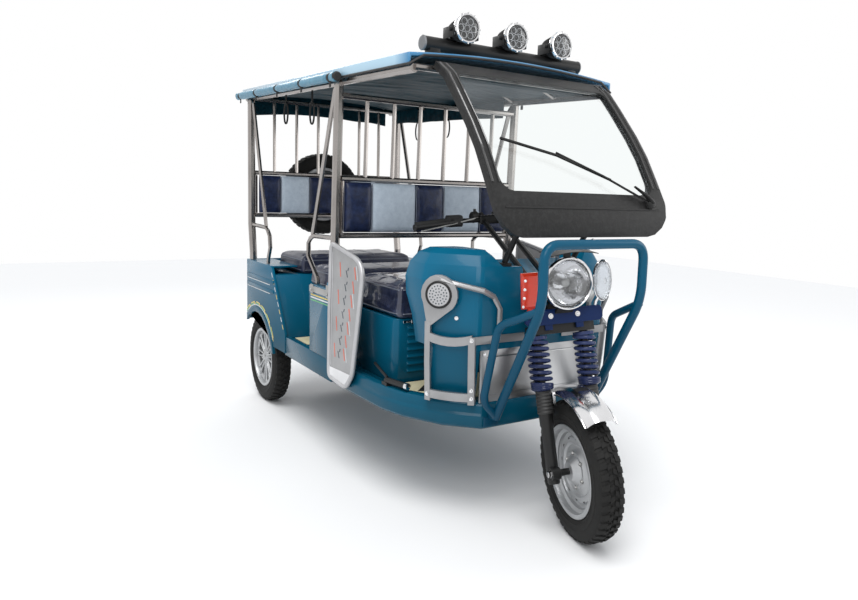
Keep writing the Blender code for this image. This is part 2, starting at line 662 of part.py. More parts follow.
def chassis_mesh():
    """Ladder frame under the floors, neck with its head tube, and the hangers of the leaf springs."""
    low, high = RAIL_Z
    nose, tail = RAIL_Y
    pieces = []
    for side in (-1, 1):
        pieces.append(block(sorted((side * RAIL_X[0], side * RAIL_X[1])), RAIL_Y, RAIL_Z))
    for y in (nose + 0.020, -0.300, 0.580, tail - 0.016):
        pieces.append(block((-RAIL_X[0] - 0.01, RAIL_X[0] + 0.01), (y - 0.0195, y + 0.0155), (low + 0.004, high - 0.004)))
    for y in (-0.300, 0.580):
        pieces.append(block((0.045 - BODY_HALF_W, BODY_HALF_W - 0.045), (y - 0.014, y + 0.014), (high - 0.030, high - 0.001)))
    pieces.append(block((-NECK_HALF_W, NECK_HALF_W), NECK_Y, (low + 0.008, NECK_TOP)))
    head_low, head_high = on_axis(HEAD_TUBE_Z[0]), on_axis(HEAD_TUBE_Z[1])
    pieces.append(rod(head_low, head_high, HEAD_TUBE_R, 12))
    pieces.append(block((-0.017, 0.017), (0.5 * (head_low.y + head_high.y), NECK_Y[0] + 0.01), (NECK_TOP - 0.030, NECK_TOP - 0.002)))
    for side in (-1, 1):
        for y in SPRING_EYES:
            inner, outer = SPRING_HALF_W + 0.003, SPRING_HALF_W + 0.008
            hanger = [(outer, low + 0.004), (outer, EYE_Z - 0.012), (inner, EYE_Z - 0.012), (inner, low - 0.008)]
            hanger += [(-x, z) for x, z in reversed(hanger)]
            pieces.append(prism([(side * SPRING_X + x, z) for x, z in hanger], "Y", y - 0.016, y + 0.016))
            pieces.append(rod((side * SPRING_X - 0.028, y, EYE_Z), (side * SPRING_X + 0.028, y, EYE_Z), PIN_R, 6))
    bore = rod(on_axis(HEAD_TUBE_Z[0] - 0.05), on_axis(HEAD_TUBE_Z[1] + 0.05), STEM_R + RUNNING_GAP, 12)
    return cut(fuse(*pieces), bore)


def rear_axle_mesh():
    """Axle tube with the motor and its gear case, the brake plates and the stub shafts for the wheels."""
    plate_x = HALF_TRACK - 0.058 - MOVING_GAP
    hub = (0.0, REAR_AXLE, TYRE_R)
    pieces = [turned([(-plate_x + 0.004, 0.0), (-plate_x + 0.004, AXLE_R), (-0.020, AXLE_R), (0.005, 0.082), (0.105, 0.082),
                      (0.130, AXLE_R), (plate_x - 0.004, AXLE_R), (plate_x - 0.004, 0.0)], 10, hub),
              turned([(0.0, 0.0), (0.0, 0.070), (0.150, 0.070), (0.165, 0.052), (0.165, 0.0)], 10,
                     (0.055, REAR_AXLE - 0.050, TYRE_R - 0.004), (0, -1, 0))]
    for side in (-1, 1):
        plate = turned([(0.0, 0.0), (0.0, 0.040), (0.006, 0.084), (0.012, 0.084), (0.012, 0.0)], 12,
                       (side * (plate_x - 0.012), REAR_AXLE, TYRE_R), (side, 0, 0))
        stub = rod((side * (plate_x - 0.02), REAR_AXLE, TYRE_R), (side * (HALF_TRACK + 0.030), REAR_AXLE, TYRE_R), STUB_R, 10)
        pieces += [plate, stub]
    return fuse(*pieces)


def leaf_spring_mesh():
    """Leaf pack over the axle on the driver's right, with an eye at each end round its pin."""
    x0, x1 = -SPRING_X - SPRING_HALF_W, -SPRING_X + SPRING_HALF_W
    seat = TYRE_R + AXLE_R + TOUCH
    half = 0.5 * (SPRING_EYES[1] - SPRING_EYES[0])
    middle = 0.5 * (SPRING_EYES[0] + SPRING_EYES[1])
    camber = EYE_Z - EYE_R - seat - 0.014
    pieces = []
    for reach, drop in ((1.0, 0.0), (0.74, LEAF_T - 0.0005), (0.46, 2 * LEAF_T - 0.001)):
        stations = [reach * share for share in (-1.0, -0.5, 0.5, 1.0)]
        base = seat + 2 * LEAF_T - 0.001 - drop
        upper = [(middle + half * t, base + LEAF_T + camber * t * t) for t in stations]
        lower = [(y, z - LEAF_T) for y, z in reversed(upper)]
        pieces.append(prism(upper + lower, "X", x0, x1))
    for y in SPRING_EYES:
        pieces.append(rod((x0, y, EYE_Z), (x1, y, EYE_Z), EYE_R, 8))
    pins = [rod((x0 - 0.05, y, EYE_Z), (x1 + 0.05, y, EYE_Z), PIN_R + RUNNING_GAP, 6) for y in SPRING_EYES]
    return cut(fuse(*pieces), *pins)


# Root body: deck, floor and body panels

def deck_outline(side, shrink, rear=DECK_REAR):
    """Half plan of the boat-shaped nose, from the rear edge to the middle of the front."""
    half = ((BODY_HALF_W - 0.002, rear), (BODY_HALF_W - 0.002, -0.130), (BODY_HALF_W - 0.012, -0.400),
            (BODY_HALF_W - 0.040, -0.520), (0.372, -0.668), (NOSE_HALF_W, DECK_FRONT))
    return [(side * (x - shrink), max(y, DECK_FRONT) + (shrink * 0.8 if y < -0.3 else 0.0)) for x, y in half]


def deck_ring(shrink, z, rear=DECK_REAR):
    right, left = deck_outline(-1, shrink, rear), deck_outline(1, shrink, rear)
    return [(x, y, z) for x, y in right + list(reversed(left))]


def floor_deck_mesh():
    """Moulded nose and footwell floor: stepped skirt, sunk floor, open below for the frame."""
    body = loft([deck_ring(0.010, DECK_BOTTOM), deck_ring(0.001, DECK_BOTTOM + 0.012), deck_ring(0.0, DECK_EDGE_Z),
                 deck_ring(0.006, DECK_EDGE_Z + 0.010), deck_ring(0.008, DECK_TOP - 0.008), deck_ring(0.014, DECK_TOP)])
    well = [(x, y) for x, y, z in deck_ring(0.046, 0.0, DECK_REAR + 0.03)]
    tray = prism(well, "Z", FLOOR_Z, DECK_TOP + 0.02)
    under = [(x, y) for x, y, z in deck_ring(SKIN + 0.006, 0.0, DECK_REAR + 0.03)]
    hollow = prism(under, "Z", DECK_BOTTOM - 0.02, FLOOR_Z - FLOOR_T)
    slot = block((-NECK_HALF_W - TOUCH, NECK_HALF_W + TOUCH), (NECK_Y[0] - TOUCH, NECK_Y[1] + TOUCH), (0.3, 0.5))
    return cut(body, tray, hollow, slot)


def passenger_floor_mesh():
    """Floor sheet between the footwell and the tail, with its sills."""
    front, rear = DECK_REAR + TOUCH, BODY_REAR - 0.015
    half_w, arch_w = BODY_HALF_W - 0.002, ARCH_X[0] - 0.0045
    waist = FENDER_LOW_FRONT - TOUCH
    in_w = BODY_HALF_W - SKIN - TOUCH
    step = REAR_AXLE - ARCH_R + 0.052
    right = [(half_w, front), (half_w, waist), (in_w, waist), (in_w, step), (arch_w, step), (arch_w, rear)]
    plan = right + [(-x, y) for x, y in reversed(right)]
    sheet = prism(plan, "Z", FLOOR_Z - FLOOR_T, FLOOR_Z)
    sills = [block(sorted((side * half_w, side * (half_w - 0.022))), (front, waist), (DECK_BOTTOM, DECK_TOP))
             for side in (1, -1)]
    tread = block((0.040 - half_w, half_w - 0.040), (FRONT_BENCH_Y[1] + 0.020, waist - 0.022),
                  (FLOOR_Z - 0.002, FLOOR_Z + TREAD_RISE))
    return fuse(sheet, tread, *sills)


def fender_mesh():
    """Rear body side on the driver's right: outer panel with ridges, arch and lip, and the wheel house."""
    x_out, x_in = -BODY_HALF_W, -BODY_HALF_W + SKIN
    arch = (REAR_AXLE, TYRE_R)
    outline = [(FENDER_LOW_FRONT, DECK_BOTTOM + 0.008), (FENDER_LOW_FRONT, 0.455),
               (FENDER_TOP_FRONT - 0.010, BODY_TOP - 0.014), (FENDER_TOP_FRONT + 0.010, BODY_TOP),
               (BODY_REAR, BODY_TOP), (BODY_REAR, DECK_BOTTOM)]
    skin = prism(outline, "X", x_out, x_in)
    hole = turned([(-0.03, 0.0), (0.03, 0.0), (0.03, ARCH_R), (-0.03, ARCH_R)], 30, (x_out + 0.006, *arch))
    reach = ARCH_R + 0.026
    lip_arc = arc(arch, ARCH_R - 0.003, 0, 180, 13)
    lip_out = list(reversed(arc(arch, reach, 0, 180, 13)))
    lip = prism(lip_arc + lip_out, "X", x_out - 0.006, x_in - 0.003)
    house = prism(arc(arch, ARCH_R + 0.002, 24, 156, 10) + list(reversed(arc(arch, ARCH_R + 0.010, 24, 156, 10))), "X",
                  x_in - 0.002, -ARCH_X[0])
    wall_outline = arc(arch, ARCH_R + 0.006, 24, 156, 10)
    wall = prism(wall_outline, "X", -ARCH_X[0] - 0.004, -ARCH_X[0] + 0.004)
    ridges = []
    for z in (0.690, 0.640):
        ridges.append(block((x_out - 0.005, x_in - 0.002), (FENDER_LOW_FRONT + 0.170, BODY_REAR - 0.004), (z, z + 0.016)))
    top = block((x_out + 0.004, -ARCH_X[0] + 0.004), (FENDER_TOP_FRONT + 0.006, BODY_REAR - 0.002),
                (BODY_TOP - 0.010, BODY_TOP - 0.001))
    flush = block((x_out - 0.1, -0.1), (BODY_REAR - 0.0005, BODY_REAR + 0.3), (0.0, 1.0))
    skirt = block((x_out - 0.1, -0.1), (0.0, 2.0), (0.0, DECK_BOTTOM - 0.030))
    return cut(fuse(cut(skin, hole), lip, house, wall, top, *ridges), flush, skirt)


def side_panel_mesh():
    """Body side beside the front bench, under the middle post."""
    x_out, x_in = -BODY_HALF_W, -BODY_HALF_W + 0.030
    y0, y1 = SIDE_PANEL_Y
    outline = [(y0, DECK_TOP + TOUCH), (y1, DECK_TOP + TOUCH), (y1, SIDE_PANEL_TOP - 0.02), (y1 - 0.02, SIDE_PANEL_TOP),
               (y0 + 0.05, SIDE_PANEL_TOP), (y0 + 0.05, POST_FOOT_Z), (y0, POST_FOOT_Z)]
    panel = prism(outline, "X", x_out, x_in)
    recess = block((x_in - 0.018, x_in + 0.02), (y0 + 0.012, y1 - 0.012), (DECK_TOP + 0.02, SIDE_PANEL_TOP - 0.03))
    return cut(panel, recess)


def rear_panel_mesh():
    """Panel across the tail, between the wheel houses and round them."""
    y0, y1 = BODY_REAR + TOUCH - 0.0005, BODY_REAR + 0.010
    wheel_x, wheel_z = ARCH_X[0] - 0.004, 0.448
    floor = RAIL_Z[1] + 0.002
    outline = [(-wheel_x, floor), (wheel_x, floor), (wheel_x, wheel_z), (BODY_HALF_W, wheel_z),
               (BODY_HALF_W, BODY_TOP), (-BODY_HALF_W, BODY_TOP), (-BODY_HALF_W, wheel_z), (-wheel_x, wheel_z)]
    skin = prism(outline, "Y", y0, y1)
    bead = block((-BODY_HALF_W + 0.002, BODY_HALF_W - 0.002), (y1 - 0.004, y1 + 0.006), (0.470, 0.494), 0.003)
    cap = block((-BODY_HALF_W + 0.001, BODY_HALF_W - 0.001), (y1 - 0.004, y1 + 0.008), (BODY_TOP - 0.030, BODY_TOP - 0.002),
                0.003)
    seat = block((-PLATE_SEAT[0], PLATE_SEAT[0]), (y1 - 0.002, y1 + PLATE_SEAT[3]), PLATE_SEAT[1:3])
    return fuse(skin, bead, cap, seat)


def bench_base_mesh(front_low, front_high, rear, half_w, wing):
    """A hollow bench, open below, whose front and top reach out to the body sides as wings."""
    top, low = BENCH_TOP, FLOOR_Z + TOUCH
    outer = prism([(front_low, low), (rear, low), (rear, top), (front_high, top)], "X", -half_w, half_w)
    inner = prism([(front_low + 0.012, low - 0.05), (rear - 0.012, low - 0.05), (rear - 0.012, top - 0.012),
                   (front_high + 0.014, top - 0.012)], "X", -half_w + 0.010, half_w - 0.010)
    shell = cut(outer, inner)
    if wing <= half_w:
        return shell
    front = prism([(front_low + 0.001, low), (front_low + 0.011, low), (front_high + 0.011, top - 0.001),
                   (front_high + 0.001, top - 0.001)], "X", -wing, wing)
    shelf = block((-wing, wing), (front_high + 0.004, rear - 0.02), (top - 0.011, top - 0.001))
    return fuse(shell, front, shelf)


def battery_mesh():
    """The drive battery under the rear bench, one plain block."""
    half_w = REAR_BENCH_HALF_W - BATTERY_GAP
    return block((-half_w, half_w), (REAR_BENCH_FACE[1] + 0.040, REAR_BENCH_BACK - 0.030),
                 (FLOOR_Z + TOUCH, 0.690), 0.006)


def seat_base_mesh():
    """Driver's seat box, its front face pressed with louvres."""
    y0, y1 = SEAT_BASE_Y
    half_w = SEAT_BASE_HALF_W
    corner = 0.030
    plan = round_corners([(-half_w, y1), (-half_w, y0), (half_w, y0), (half_w, y1)], corner, 3, closed=False)
    outer = prism([tuple(p) for p in plan], "Z", FLOOR_Z + TOUCH, SEAT_BASE_TOP)
    inner = block((-half_w + 0.010, half_w - 0.010), (y0 + 0.012, y1 - 0.010), (FLOOR_Z - 0.05, SEAT_BASE_TOP - 0.010))
    louvres = []
    rows, first, pitch = 7, FLOOR_Z + 0.040, 0.029
    for side in (-1, 1):
        for k in range(rows):
            z = first + k * pitch
            outline = [(y0 + 0.002, z), (y0 - 0.0075, z + 0.002), (y0 - 0.0075, z + 0.006), (y0 + 0.002, z + 0.018)]
            low, high = sorted((side * 0.060, side * 0.340))
            louvres.append(prism(outline, "X", low, high))
    return fuse(cut(outer, inner), *louvres)


def cushion_mesh(x, y, z, edge=0.025):
    """A plain soft block with rounded edges."""
    return block(x, y, z, edge, 2)


# Root body: canopy

def flat(radius, sides):
    """Distance from the centre of a many-sided bar to its flats."""
    return radius * math.cos(math.pi / sides)


def roof_edge(y):
    """Height of the roof's side edge at a station."""
    share = (y - ROOF_FRONT[0]) / (ROOF_REAR[0] - ROOF_FRONT[0])
    return ROOF_FRONT[1] + (ROOF_REAR[1] - ROOF_FRONT[1]) * share


def roof_under(y, x=0.0):
    """Height of the crowned sheet's underside."""
    return roof_edge(y) + ROOF_CROWN * (1 - (x / ROOF_HALF_W) ** 2) + 0.004


def roof_panel_mesh():
    """Crowned roof sheet with a rolled edge that hangs at the sides."""
    half = ROOF_HALF_W
    xs = [-half + 2 * half * k / 10 for k in range(11)]
    rings = []
    for y in (ROOF_FRONT[0] + 0.002, -0.40, 0.20, 0.80, ROOF_REAR[0] - 0.002):
        top = [(x, y, roof_under(y, x) + ROOF_T) for x in xs]
        under = [(x, y, roof_under(y, x)) for x in reversed(xs[1:-1])]
        lip_left = [(half, y, roof_edge(y) - 0.022), (half - 0.010, y, roof_edge(y) - 0.022),
                    (half - 0.012, y, roof_under(y, half - 0.012))]
        lip_right = [(-x, b, c) for x, b, c in reversed(lip_left)]
        rings.append(top + lip_left + under + lip_right)
    return loft(rings)


def post_lean(z, points):
    """Station of a post's centre at a height, from its (height, station) points, bottom first."""
    for (z0, y0), (z1, y1) in zip(points, points[1:]):
        if z <= z1 or (z1, y1) == points[-1]:
            return y0 + (y1 - y0) * (z - z0) / (z1 - z0)
    return points[-1][1]


MIDDLE_POST = ((POST_FOOT_Z + TOUCH, MIDDLE_Y), (POST_FOOT_Z + 0.030, MIDDLE_Y),
               (roof_edge(MIDDLE_Y) - RAIL_DROP, MIDDLE_Y - POST_LEAN))
REAR_POST = ((BODY_TOP + TOUCH, REAR_Y - 0.038), (BODY_TOP + 0.040, REAR_Y - 0.038), (0.980, REAR_Y - 0.008),
             (roof_edge(REAR_Y) - RAIL_DROP, REAR_Y))
FRONT_BOW_Y = -0.5645


def hand_rail(x, post, sign, foot_z, foot_y):
    """The loop beside a post that a passenger holds, and the brace from its far corner up to the post's top."""
    rail_z = 0.978
    post_y, top_y = post_lean(rail_z, post), post[-1][1]
    corner_y = post_y + sign * 0.268
    belly_y = corner_y + sign * 0.075
    loop = [(x, post_y, rail_z), (x, corner_y, rail_z - 0.006), (x, belly_y, 0.905), (x, foot_y, foot_z + 0.024),
            (x, foot_y, foot_z + TOUCH)]
    brace = [(x, corner_y - sign * 0.012, rail_z), (x, top_y + sign * 0.040, post[-1][0] - 0.030), (x, top_y, post[-1][0] + 0.004)]
    return [tube(loop, HAND_RAIL_R, 6, bend=0.05, steps=1), tube(brace, HAND_RAIL_R, 6)]


def canopy_frame_mesh():
    """Posts, side rails, roof bows and hand rails of the canopy, one welded frame."""
    pieces = []
    rail_x = POST_X - 0.008
    bar_r = 0.0130
    for side in (-1, 1):
        x = side * POST_X
        for post in (MIDDLE_POST, REAR_POST):
            pieces.append(tube([(x, y, z) for z, y in post], POST_R, 8))
        pieces.append(rod((side * rail_x, FRONT_BOW_Y, roof_edge(FRONT_BOW_Y) - RAIL_DROP),
                          (side * rail_x, 1.345, roof_edge(1.345) - RAIL_DROP), 0.0160, 8))
        for post, sign, foot_z, foot_y in ((MIDDLE_POST, 1, SIDE_PANEL_TOP, SIDE_PANEL_Y[1] - 0.034),
                                           (REAR_POST, -1, BODY_TOP, REAR_POST[0][1] - 0.262)):
            pieces += hand_rail(x, post, sign, foot_z, foot_y)
    front_z = roof_edge(FRONT_BOW_Y) - RAIL_DROP + 0.006
    pieces.append(rod((-rail_x, FRONT_BOW_Y, front_z), (rail_x, FRONT_BOW_Y, front_z), bar_r, 8))
    middle_y = post_lean(MIDDLE_RAIL_Z, MIDDLE_POST)
    pieces.append(rod((-POST_X, middle_y, MIDDLE_RAIL_Z), (POST_X, middle_y, MIDDLE_RAIL_Z), bar_r, 8))
    rear_z = roof_edge(REAR_Y) - RAIL_DROP
    pieces.append(rod((-POST_X, REAR_Y, rear_z), (POST_X, REAR_Y, rear_z), bar_r, 8))
    for y in (-0.250, MIDDLE_Y - POST_LEAN, 0.480, 0.880, 1.330):
        crest = [(share * rail_x, y, roof_under(y, share * rail_x) - 0.0115) for share in (-0.8, 0.0, 0.8)]
        ends = [(-rail_x, y, roof_edge(y) - RAIL_DROP), (rail_x, y, roof_edge(y) - RAIL_DROP)]
        pieces.append(tube([ends[0], *crest, ends[1]], 0.0085, 6))
    return fuse(*pieces)


def grille_mesh(lean, back_z, top):
    """Rails above and below a backrest, and rods from there up to the canopy's cross rail."""
    half_w = POST_X - POST_R - TOUCH
    bottom, shelf = back_z
    pieces = []
    for z in back_z:
        pieces.append(rod((-half_w, lean(z), z), (half_w, lean(z), z), GRILLE_RAIL_R, 8))
    for side in (-1, 1):
        x = side * (half_w - 0.0075)
        pieces.append(rod((x, lean(bottom), bottom), (x, lean(shelf), shelf), 0.0070, 6))
        for k in range(3):
            x = side * ROD_PITCH * (k + 0.5)
            pieces.append(rod((x, lean(shelf), shelf), (x, lean(top), top), ROD_R, 6))
    return pieces


def middle_grille_mesh():
    top = MIDDLE_RAIL_Z - flat(0.0130, 8) - TOUCH
    return fuse(*grille_mesh(lambda z: post_lean(z, MIDDLE_POST), MIDDLE_BACK_Z, top))


def rear_grille_mesh():
    """The rear rods, and behind them the carrier and stud of the spare wheel."""
    top = roof_edge(REAR_Y) - RAIL_DROP - flat(0.0130, 8) - TOUCH
    pieces = grille_mesh(lambda z: post_lean(z, REAR_POST), REAR_BACK_Z, top)
    y = post_lean(SPARE_Z, REAR_POST)
    for x in (-0.060, 0.060):
        pieces.append(prism([(post_lean(REAR_BACK_Z[0], REAR_POST) + 0.006, REAR_BACK_Z[0]),
                             (post_lean(REAR_BACK_Z[0], REAR_POST) + 0.032, REAR_BACK_Z[0]),
                             (post_lean(REAR_BACK_Z[1], REAR_POST) + 0.032, REAR_BACK_Z[1]),
                             (post_lean(REAR_BACK_Z[1], REAR_POST) + 0.006, REAR_BACK_Z[1])], "X", x - 0.012, x + 0.012))
    plate = block((-0.070, 0.070), (y + 0.026, y + 0.034), (SPARE_Z - 0.045, SPARE_Z + 0.045))
    face = SPARE_Y - SPARE_DISC_T - TOUCH
    post = turned([(0.0, 0.0), (0.0, 0.030), (face - y - 0.030, 0.030), (face - y - 0.030, SPARE_STUD_R),
                   (SPARE_Y + 0.020 - y - 0.030, SPARE_STUD_R), (SPARE_Y + 0.020 - y - 0.030, 0.0)], 10,
                  (0.0, y + 0.030, SPARE_Z), (0, 1, 0))
    return fuse(*pieces, plate, post)


def backrest_mesh(lean, back_z, front_t, rear_t):
    """Padded board between the two rails of a grille: its section, swept across."""
    gap = GRILLE_RAIL_R + TOUCH
    low, high = back_z[0] + gap, back_z[1] - gap
    round_z = 0.014
    front = [(lean(low) - front_t / 2, low), (lean(low) - front_t, low + round_z), (lean(high) - front_t, high - round_z),
             (lean(high) - front_t / 2, high)]
    rear = [(lean(high) + rear_t, high), (lean(low) + rear_t, low)]
    return prism(front + rear, "X", -BACK_HALF_W, BACK_HALF_W)


def curtain_roll_mesh():
    """The rolled side curtain under the roof's edge, a long thin roll."""
    y0, y1 = -0.010, 1.372
    radius = 0.0170
    x = -ROOF_HALF_W - radius - TOUCH
    stations = [y0 + (y1 - y0) * k / 4 for k in range(5)]
    return tube([(x, y, roof_edge(y) - 0.012) for y in stations], radius, 10)


# Root body: windscreen

def along_profile(offset):
    """The frame's side profile moved inwards by an offset, as stations and heights."""
    points = [Vector(p) for p in SCREEN_PROFILE]
    out = []
    for i, point in enumerate(points):
        ahead = (points[min(i + 1, len(points) - 1)] - points[max(i - 1, 0)]).normalized()
        inward = Vector((-ahead.y, ahead.x))
        out.append(point + inward * offset)
    return out


def screen_band(near, far):
    """The curved band between two offsets of the profile, as an outline in Y and Z."""
    return [tuple(p) for p in along_profile(near)] + [tuple(p) for p in reversed(along_profile(far))]


def front_outline(half_w, low, high, low_r, high_r):
    corners = [(-half_w, low), (half_w, low), (half_w, high), (-half_w, high)]
    points = []
    for (x, z), radius in zip(corners, (low_r, low_r, high_r, high_r)):
        sx, sz = math.copysign(1, x), 1 if z == high else -1
        start = {(-1, -1): 180, (1, -1): 270, (1, 1): 0, (-1, 1): 90}[(int(sx), sz)]
        points += arc((x - sx * radius, z - sz * radius), radius, start, start + 90, 4)
    return points


def screen_frame_mesh():
    body = prism(screen_band(0.0, SCREEN_T), "X", -SCREEN_HALF_W, SCREEN_HALF_W)
    face = prism(front_outline(SCREEN_HALF_W + 0.001, 1.051, 1.70, 0.115, 0.02), "Y", -1.3, -0.3)
    window = prism(front_outline(SCREEN_OPEN_HALF_W, 1.200, 1.596, 0.045, 0.030), "Y", -1.3, -0.3)
    panel = cut(combine(body, [face], "INTERSECT"), window)
    stays = []
    for x in (-STAY_X, STAY_X):
        stays.append(tube(((x, SCREEN_PROFILE[-1][0] + 0.014, 1.078), (x, STAY_BEND_Y, 1.054), (x, STAY_Y, STAY_Z)), 0.0110, 8,
                          bend=0.04, steps=2))
        foot = block((x - 0.020, x + 0.020), (STAY_Y - 0.016, STAY_Y + 0.016), (COWL_SADDLE_Z + TOUCH, COWL_SADDLE_Z + 0.012))
        stays.append(foot)
    return fuse(panel, *stays)


def screen_glass_mesh():
    middle = SCREEN_T / 2
    body = prism(screen_band(middle - GLASS_T / 2, middle + GLASS_T / 2), "X", -0.5, 0.5)
    face = prism(front_outline(SCREEN_OPEN_HALF_W - TOUCH, 1.200 + TOUCH, 1.596 - TOUCH, 0.045 - TOUCH, 0.030 - TOUCH), "Y",
                 -1.3, -0.3)
    return combine(body, [face], "INTERSECT")


# Root body: cowl, panels, bumper

COWL_ROWS = (                  # height, half width, rear, start of the corner, half width of the front, front
    (0.640, 0.398, -0.520, -0.640, 0.294, -0.7690),
    (0.740, 0.406, -0.500, -0.632, 0.294, -0.7695),
    (0.820, 0.424, -0.485, -0.612, 0.296, -0.7695),
    (0.880, 0.426, -0.480, -0.600, 0.290, -0.7680),
    (0.935, 0.412, -0.488, -0.595, 0.280, -0.7560),
    (0.972, 0.388, -0.510, -0.590, 0.268, -0.7350),
    (0.990, 0.358, -0.540, -0.585, 0.254, -0.7100),
)
PIPE_SLOPE = 0.405             # rise of the steering pipes as they come back
WELL_R = 0.080
WELL_FLOOR = 0.786
COWL_T = 0.012


def cowl_ring(row, shrink):
    z, side, rear, corner, front_w, front = row
    half = [(side - shrink, rear), (side - shrink, corner), (front_w - shrink * 0.7, front + shrink)]
    plan = round_corners([(-x, y) for x, y in half] + [(x, y) for x, y in reversed(half)], 0.035, 2)
    return [(x, y, z) for x, y in plan]


def pipe_sweep(margin, drop):
    """The space the steering pipes swing through over the cowl, as a wedge with a rising floor."""
    root = on_axis(TOP_CROWN_Z[1] + 0.018)
    rows = []
    for back in (-0.06, 0.045, 0.145, 0.245, 0.345, 0.50):
        half_w = 0.068 + max(0.0, back) * 0.72 + margin
        rows.append((half_w, root.y + back, root.z + back * PIPE_SLOPE - 0.046 - drop))
    left = [(x, y, z) for x, y, z in rows]
    right = [(-x, y, z) for x, y, z in reversed(rows)]
    low = left + right
    return loft([low, [(x, y, 1.25) for x, y, z in low]])


def steering_well(margin, drop):
    """Room for the top crown and the foot of the pipes to turn in, cut into the cowl's front."""
    rings = []
    for z in (WELL_FLOOR - drop, 1.200):
        centre = on_axis(z)
        rings.append([(x, y, z) for x, y in arc((0.0, centre.y), WELL_R + margin, 0, 337.5, 15)])
    return loft(rings)


def cowl_saddle(drop):
    """What is taken off between the two shoulders, down to the level of the front edge."""
    floor = COWL_SADDLE_Z - drop
    profile = [(-0.250, 1.10), (-0.232, floor + 0.053), (-0.185, floor), (0.185, floor), (0.232, floor + 0.053),
               (0.250, 1.10)]
    return prism(profile, "Y", -1.0, -0.3)


def cowl_mesh():
    """Moulded front cowl: two shoulders, a saddle and a wedge between them for the pipes, open at the rear."""
    outer = loft([cowl_ring(row, 0.0) for row in COWL_ROWS])
    hollow_rows = [(z - COWL_T, side, rear + 0.10, corner, w, front) for z, side, rear, corner, w, front in COWL_ROWS]
    hollow_rows[0] = (0.60, *hollow_rows[0][1:])
    hollow = loft([cowl_ring(row, COWL_T) for row in hollow_rows])
    inside = cut(hollow, cowl_saddle(COWL_T), pipe_sweep(COWL_T, COWL_T), steering_well(COWL_T, COWL_T))
    slot = block((-0.0175, 0.0175), (-0.85, NECK_Y[0] + 0.01), (NECK_TOP - 0.0305, NECK_TOP - 0.0015))
    shell = cut(outer, cowl_saddle(0.0), pipe_sweep(0.0, 0.0), steering_well(0.0, 0.0), inside, slot)
    right = cowl_leg_mesh()
    return fuse(shell, right, mirrored(right))


def cowl_leg_mesh():
    """The cowl's lower corner, from the deck up into the moulded top."""
    levels = ((DECK_TOP + TOUCH, 0.385, -0.606, 0.283, -0.733), (0.540, 0.391, -0.622, 0.288, -0.750),
              (0.652, 0.395, -0.640, 0.292, -0.7665))
    rings = []
    for z, side, corner, front_w, front in levels:
        rings.append([(-side, corner + 0.030, z), (-side, corner, z), (-front_w, front, z), (-front_w + 0.012, front, z),
                      (-front_w + 0.012, front + 0.014, z), (-side + 0.014, corner + 0.016, z), (-side + 0.014, corner + 0.030, z)])
    return loft(rings)


def front_panel_mesh():
    """Stainless kick panel between the cowl's legs, with a pressed border."""
    y = NECK_Y[0] - TOUCH
    half_w, border = NOSE_HALF_W, 0.023
    skin = block((-half_w, half_w), (y - 0.006, y), (DECK_TOP + TOUCH, 0.640 - TOUCH))
    raised = block((border - half_w, half_w - border), (y - 0.012, y - 0.003), (0.472, 0.612), 0.003)
    return fuse(skin, raised)


GUARD_FOOT = Vector((-0.3880, -0.6100, 0.0))      # left end of the guard's lower line, on the deck
GUARD_ALONG = Vector((0.6277, -0.7785, 0.0))
GUARD_OUT = Vector((-0.7785, -0.6277, 0.0))


def on_guard(s, out, z):
    """A point on the cowl's corner: s along the corner facet, out from it, and its height."""
    lean = 0.020 * min(1.0, (z - DECK_TOP) / (0.640 - DECK_TOP))
    bulge = 0.016 * max(0.0, 1 - ((s - 0.086) / 0.090) ** 2)
    return GUARD_FOOT + GUARD_ALONG * s + GUARD_OUT * (0.012 + lean + bulge + out) + Vector((0, 0, z))


def guard_mesh():
    """Flat-tube guard on the cowl's corner: teardrop boss, two uprights and two sagging bars."""
    thick = 0.016
    pieces = []
    for s, top in ((0.004, 0.735), (0.168, 0.691)):
        rings = []
        for z in (DECK_TOP + TOUCH, 0.5 * (DECK_TOP + top), top):
            rings.append([on_guard(s - 0.011, 0.0, z), on_guard(s - 0.011, thick, z), on_guard(s + 0.011, thick, z),
                          on_guard(s + 0.011, 0.0, z)])
        pieces.append(loft(rings))
    for level, height in ((0.668, 0.030), (0.456, 0.030)):
        rings = []
        for k in range(7):
            s = 0.004 + 0.164 * k / 6
            sag = 0.012 * (1 - ((k - 3) / 3) ** 2) * (1.0 if level > 0.5 else 0.0)
            low = max(level - sag, DECK_TOP + TOUCH)
            rings.append([on_guard(s, 0.001, low), on_guard(s, thick - 0.001, low), on_guard(s, thick - 0.001, low + height),
                          on_guard(s, 0.001, low + height)])
        pieces.append(loft(rings))
    centre_s, centre_z, radius = 0.046, 0.834, 0.070
    rim = [(centre_s + radius * math.cos(a), centre_z + radius * math.sin(a))
           for a in [math.radians(-40 + 250 * k / 14) for k in range(15)]] + [(0.004, 0.712)]
    pieces.append(loft([[on_guard(s, out, z) for s, z in rim] for out in (0.002, thick)]))
    crest = [on_guard(0.052, 0.008, 0.886), on_guard(0.120, 0.008, 0.873)]
    drop = [(x, -0.7830 - ahead, z) for x, ahead, z in ((-0.290, 0.0075, 0.856), (-0.240, 0.0, 0.832), (-0.212, 0.0, 0.788),
                                                        (-0.214, 0.0, 0.680))]
    pieces.append(tube(crest + drop, 0.010, 6))
    pieces.append(block((-0.312, -0.090), (-0.7745, -0.7702), (0.664, 0.692)))
    return fuse(*pieces)


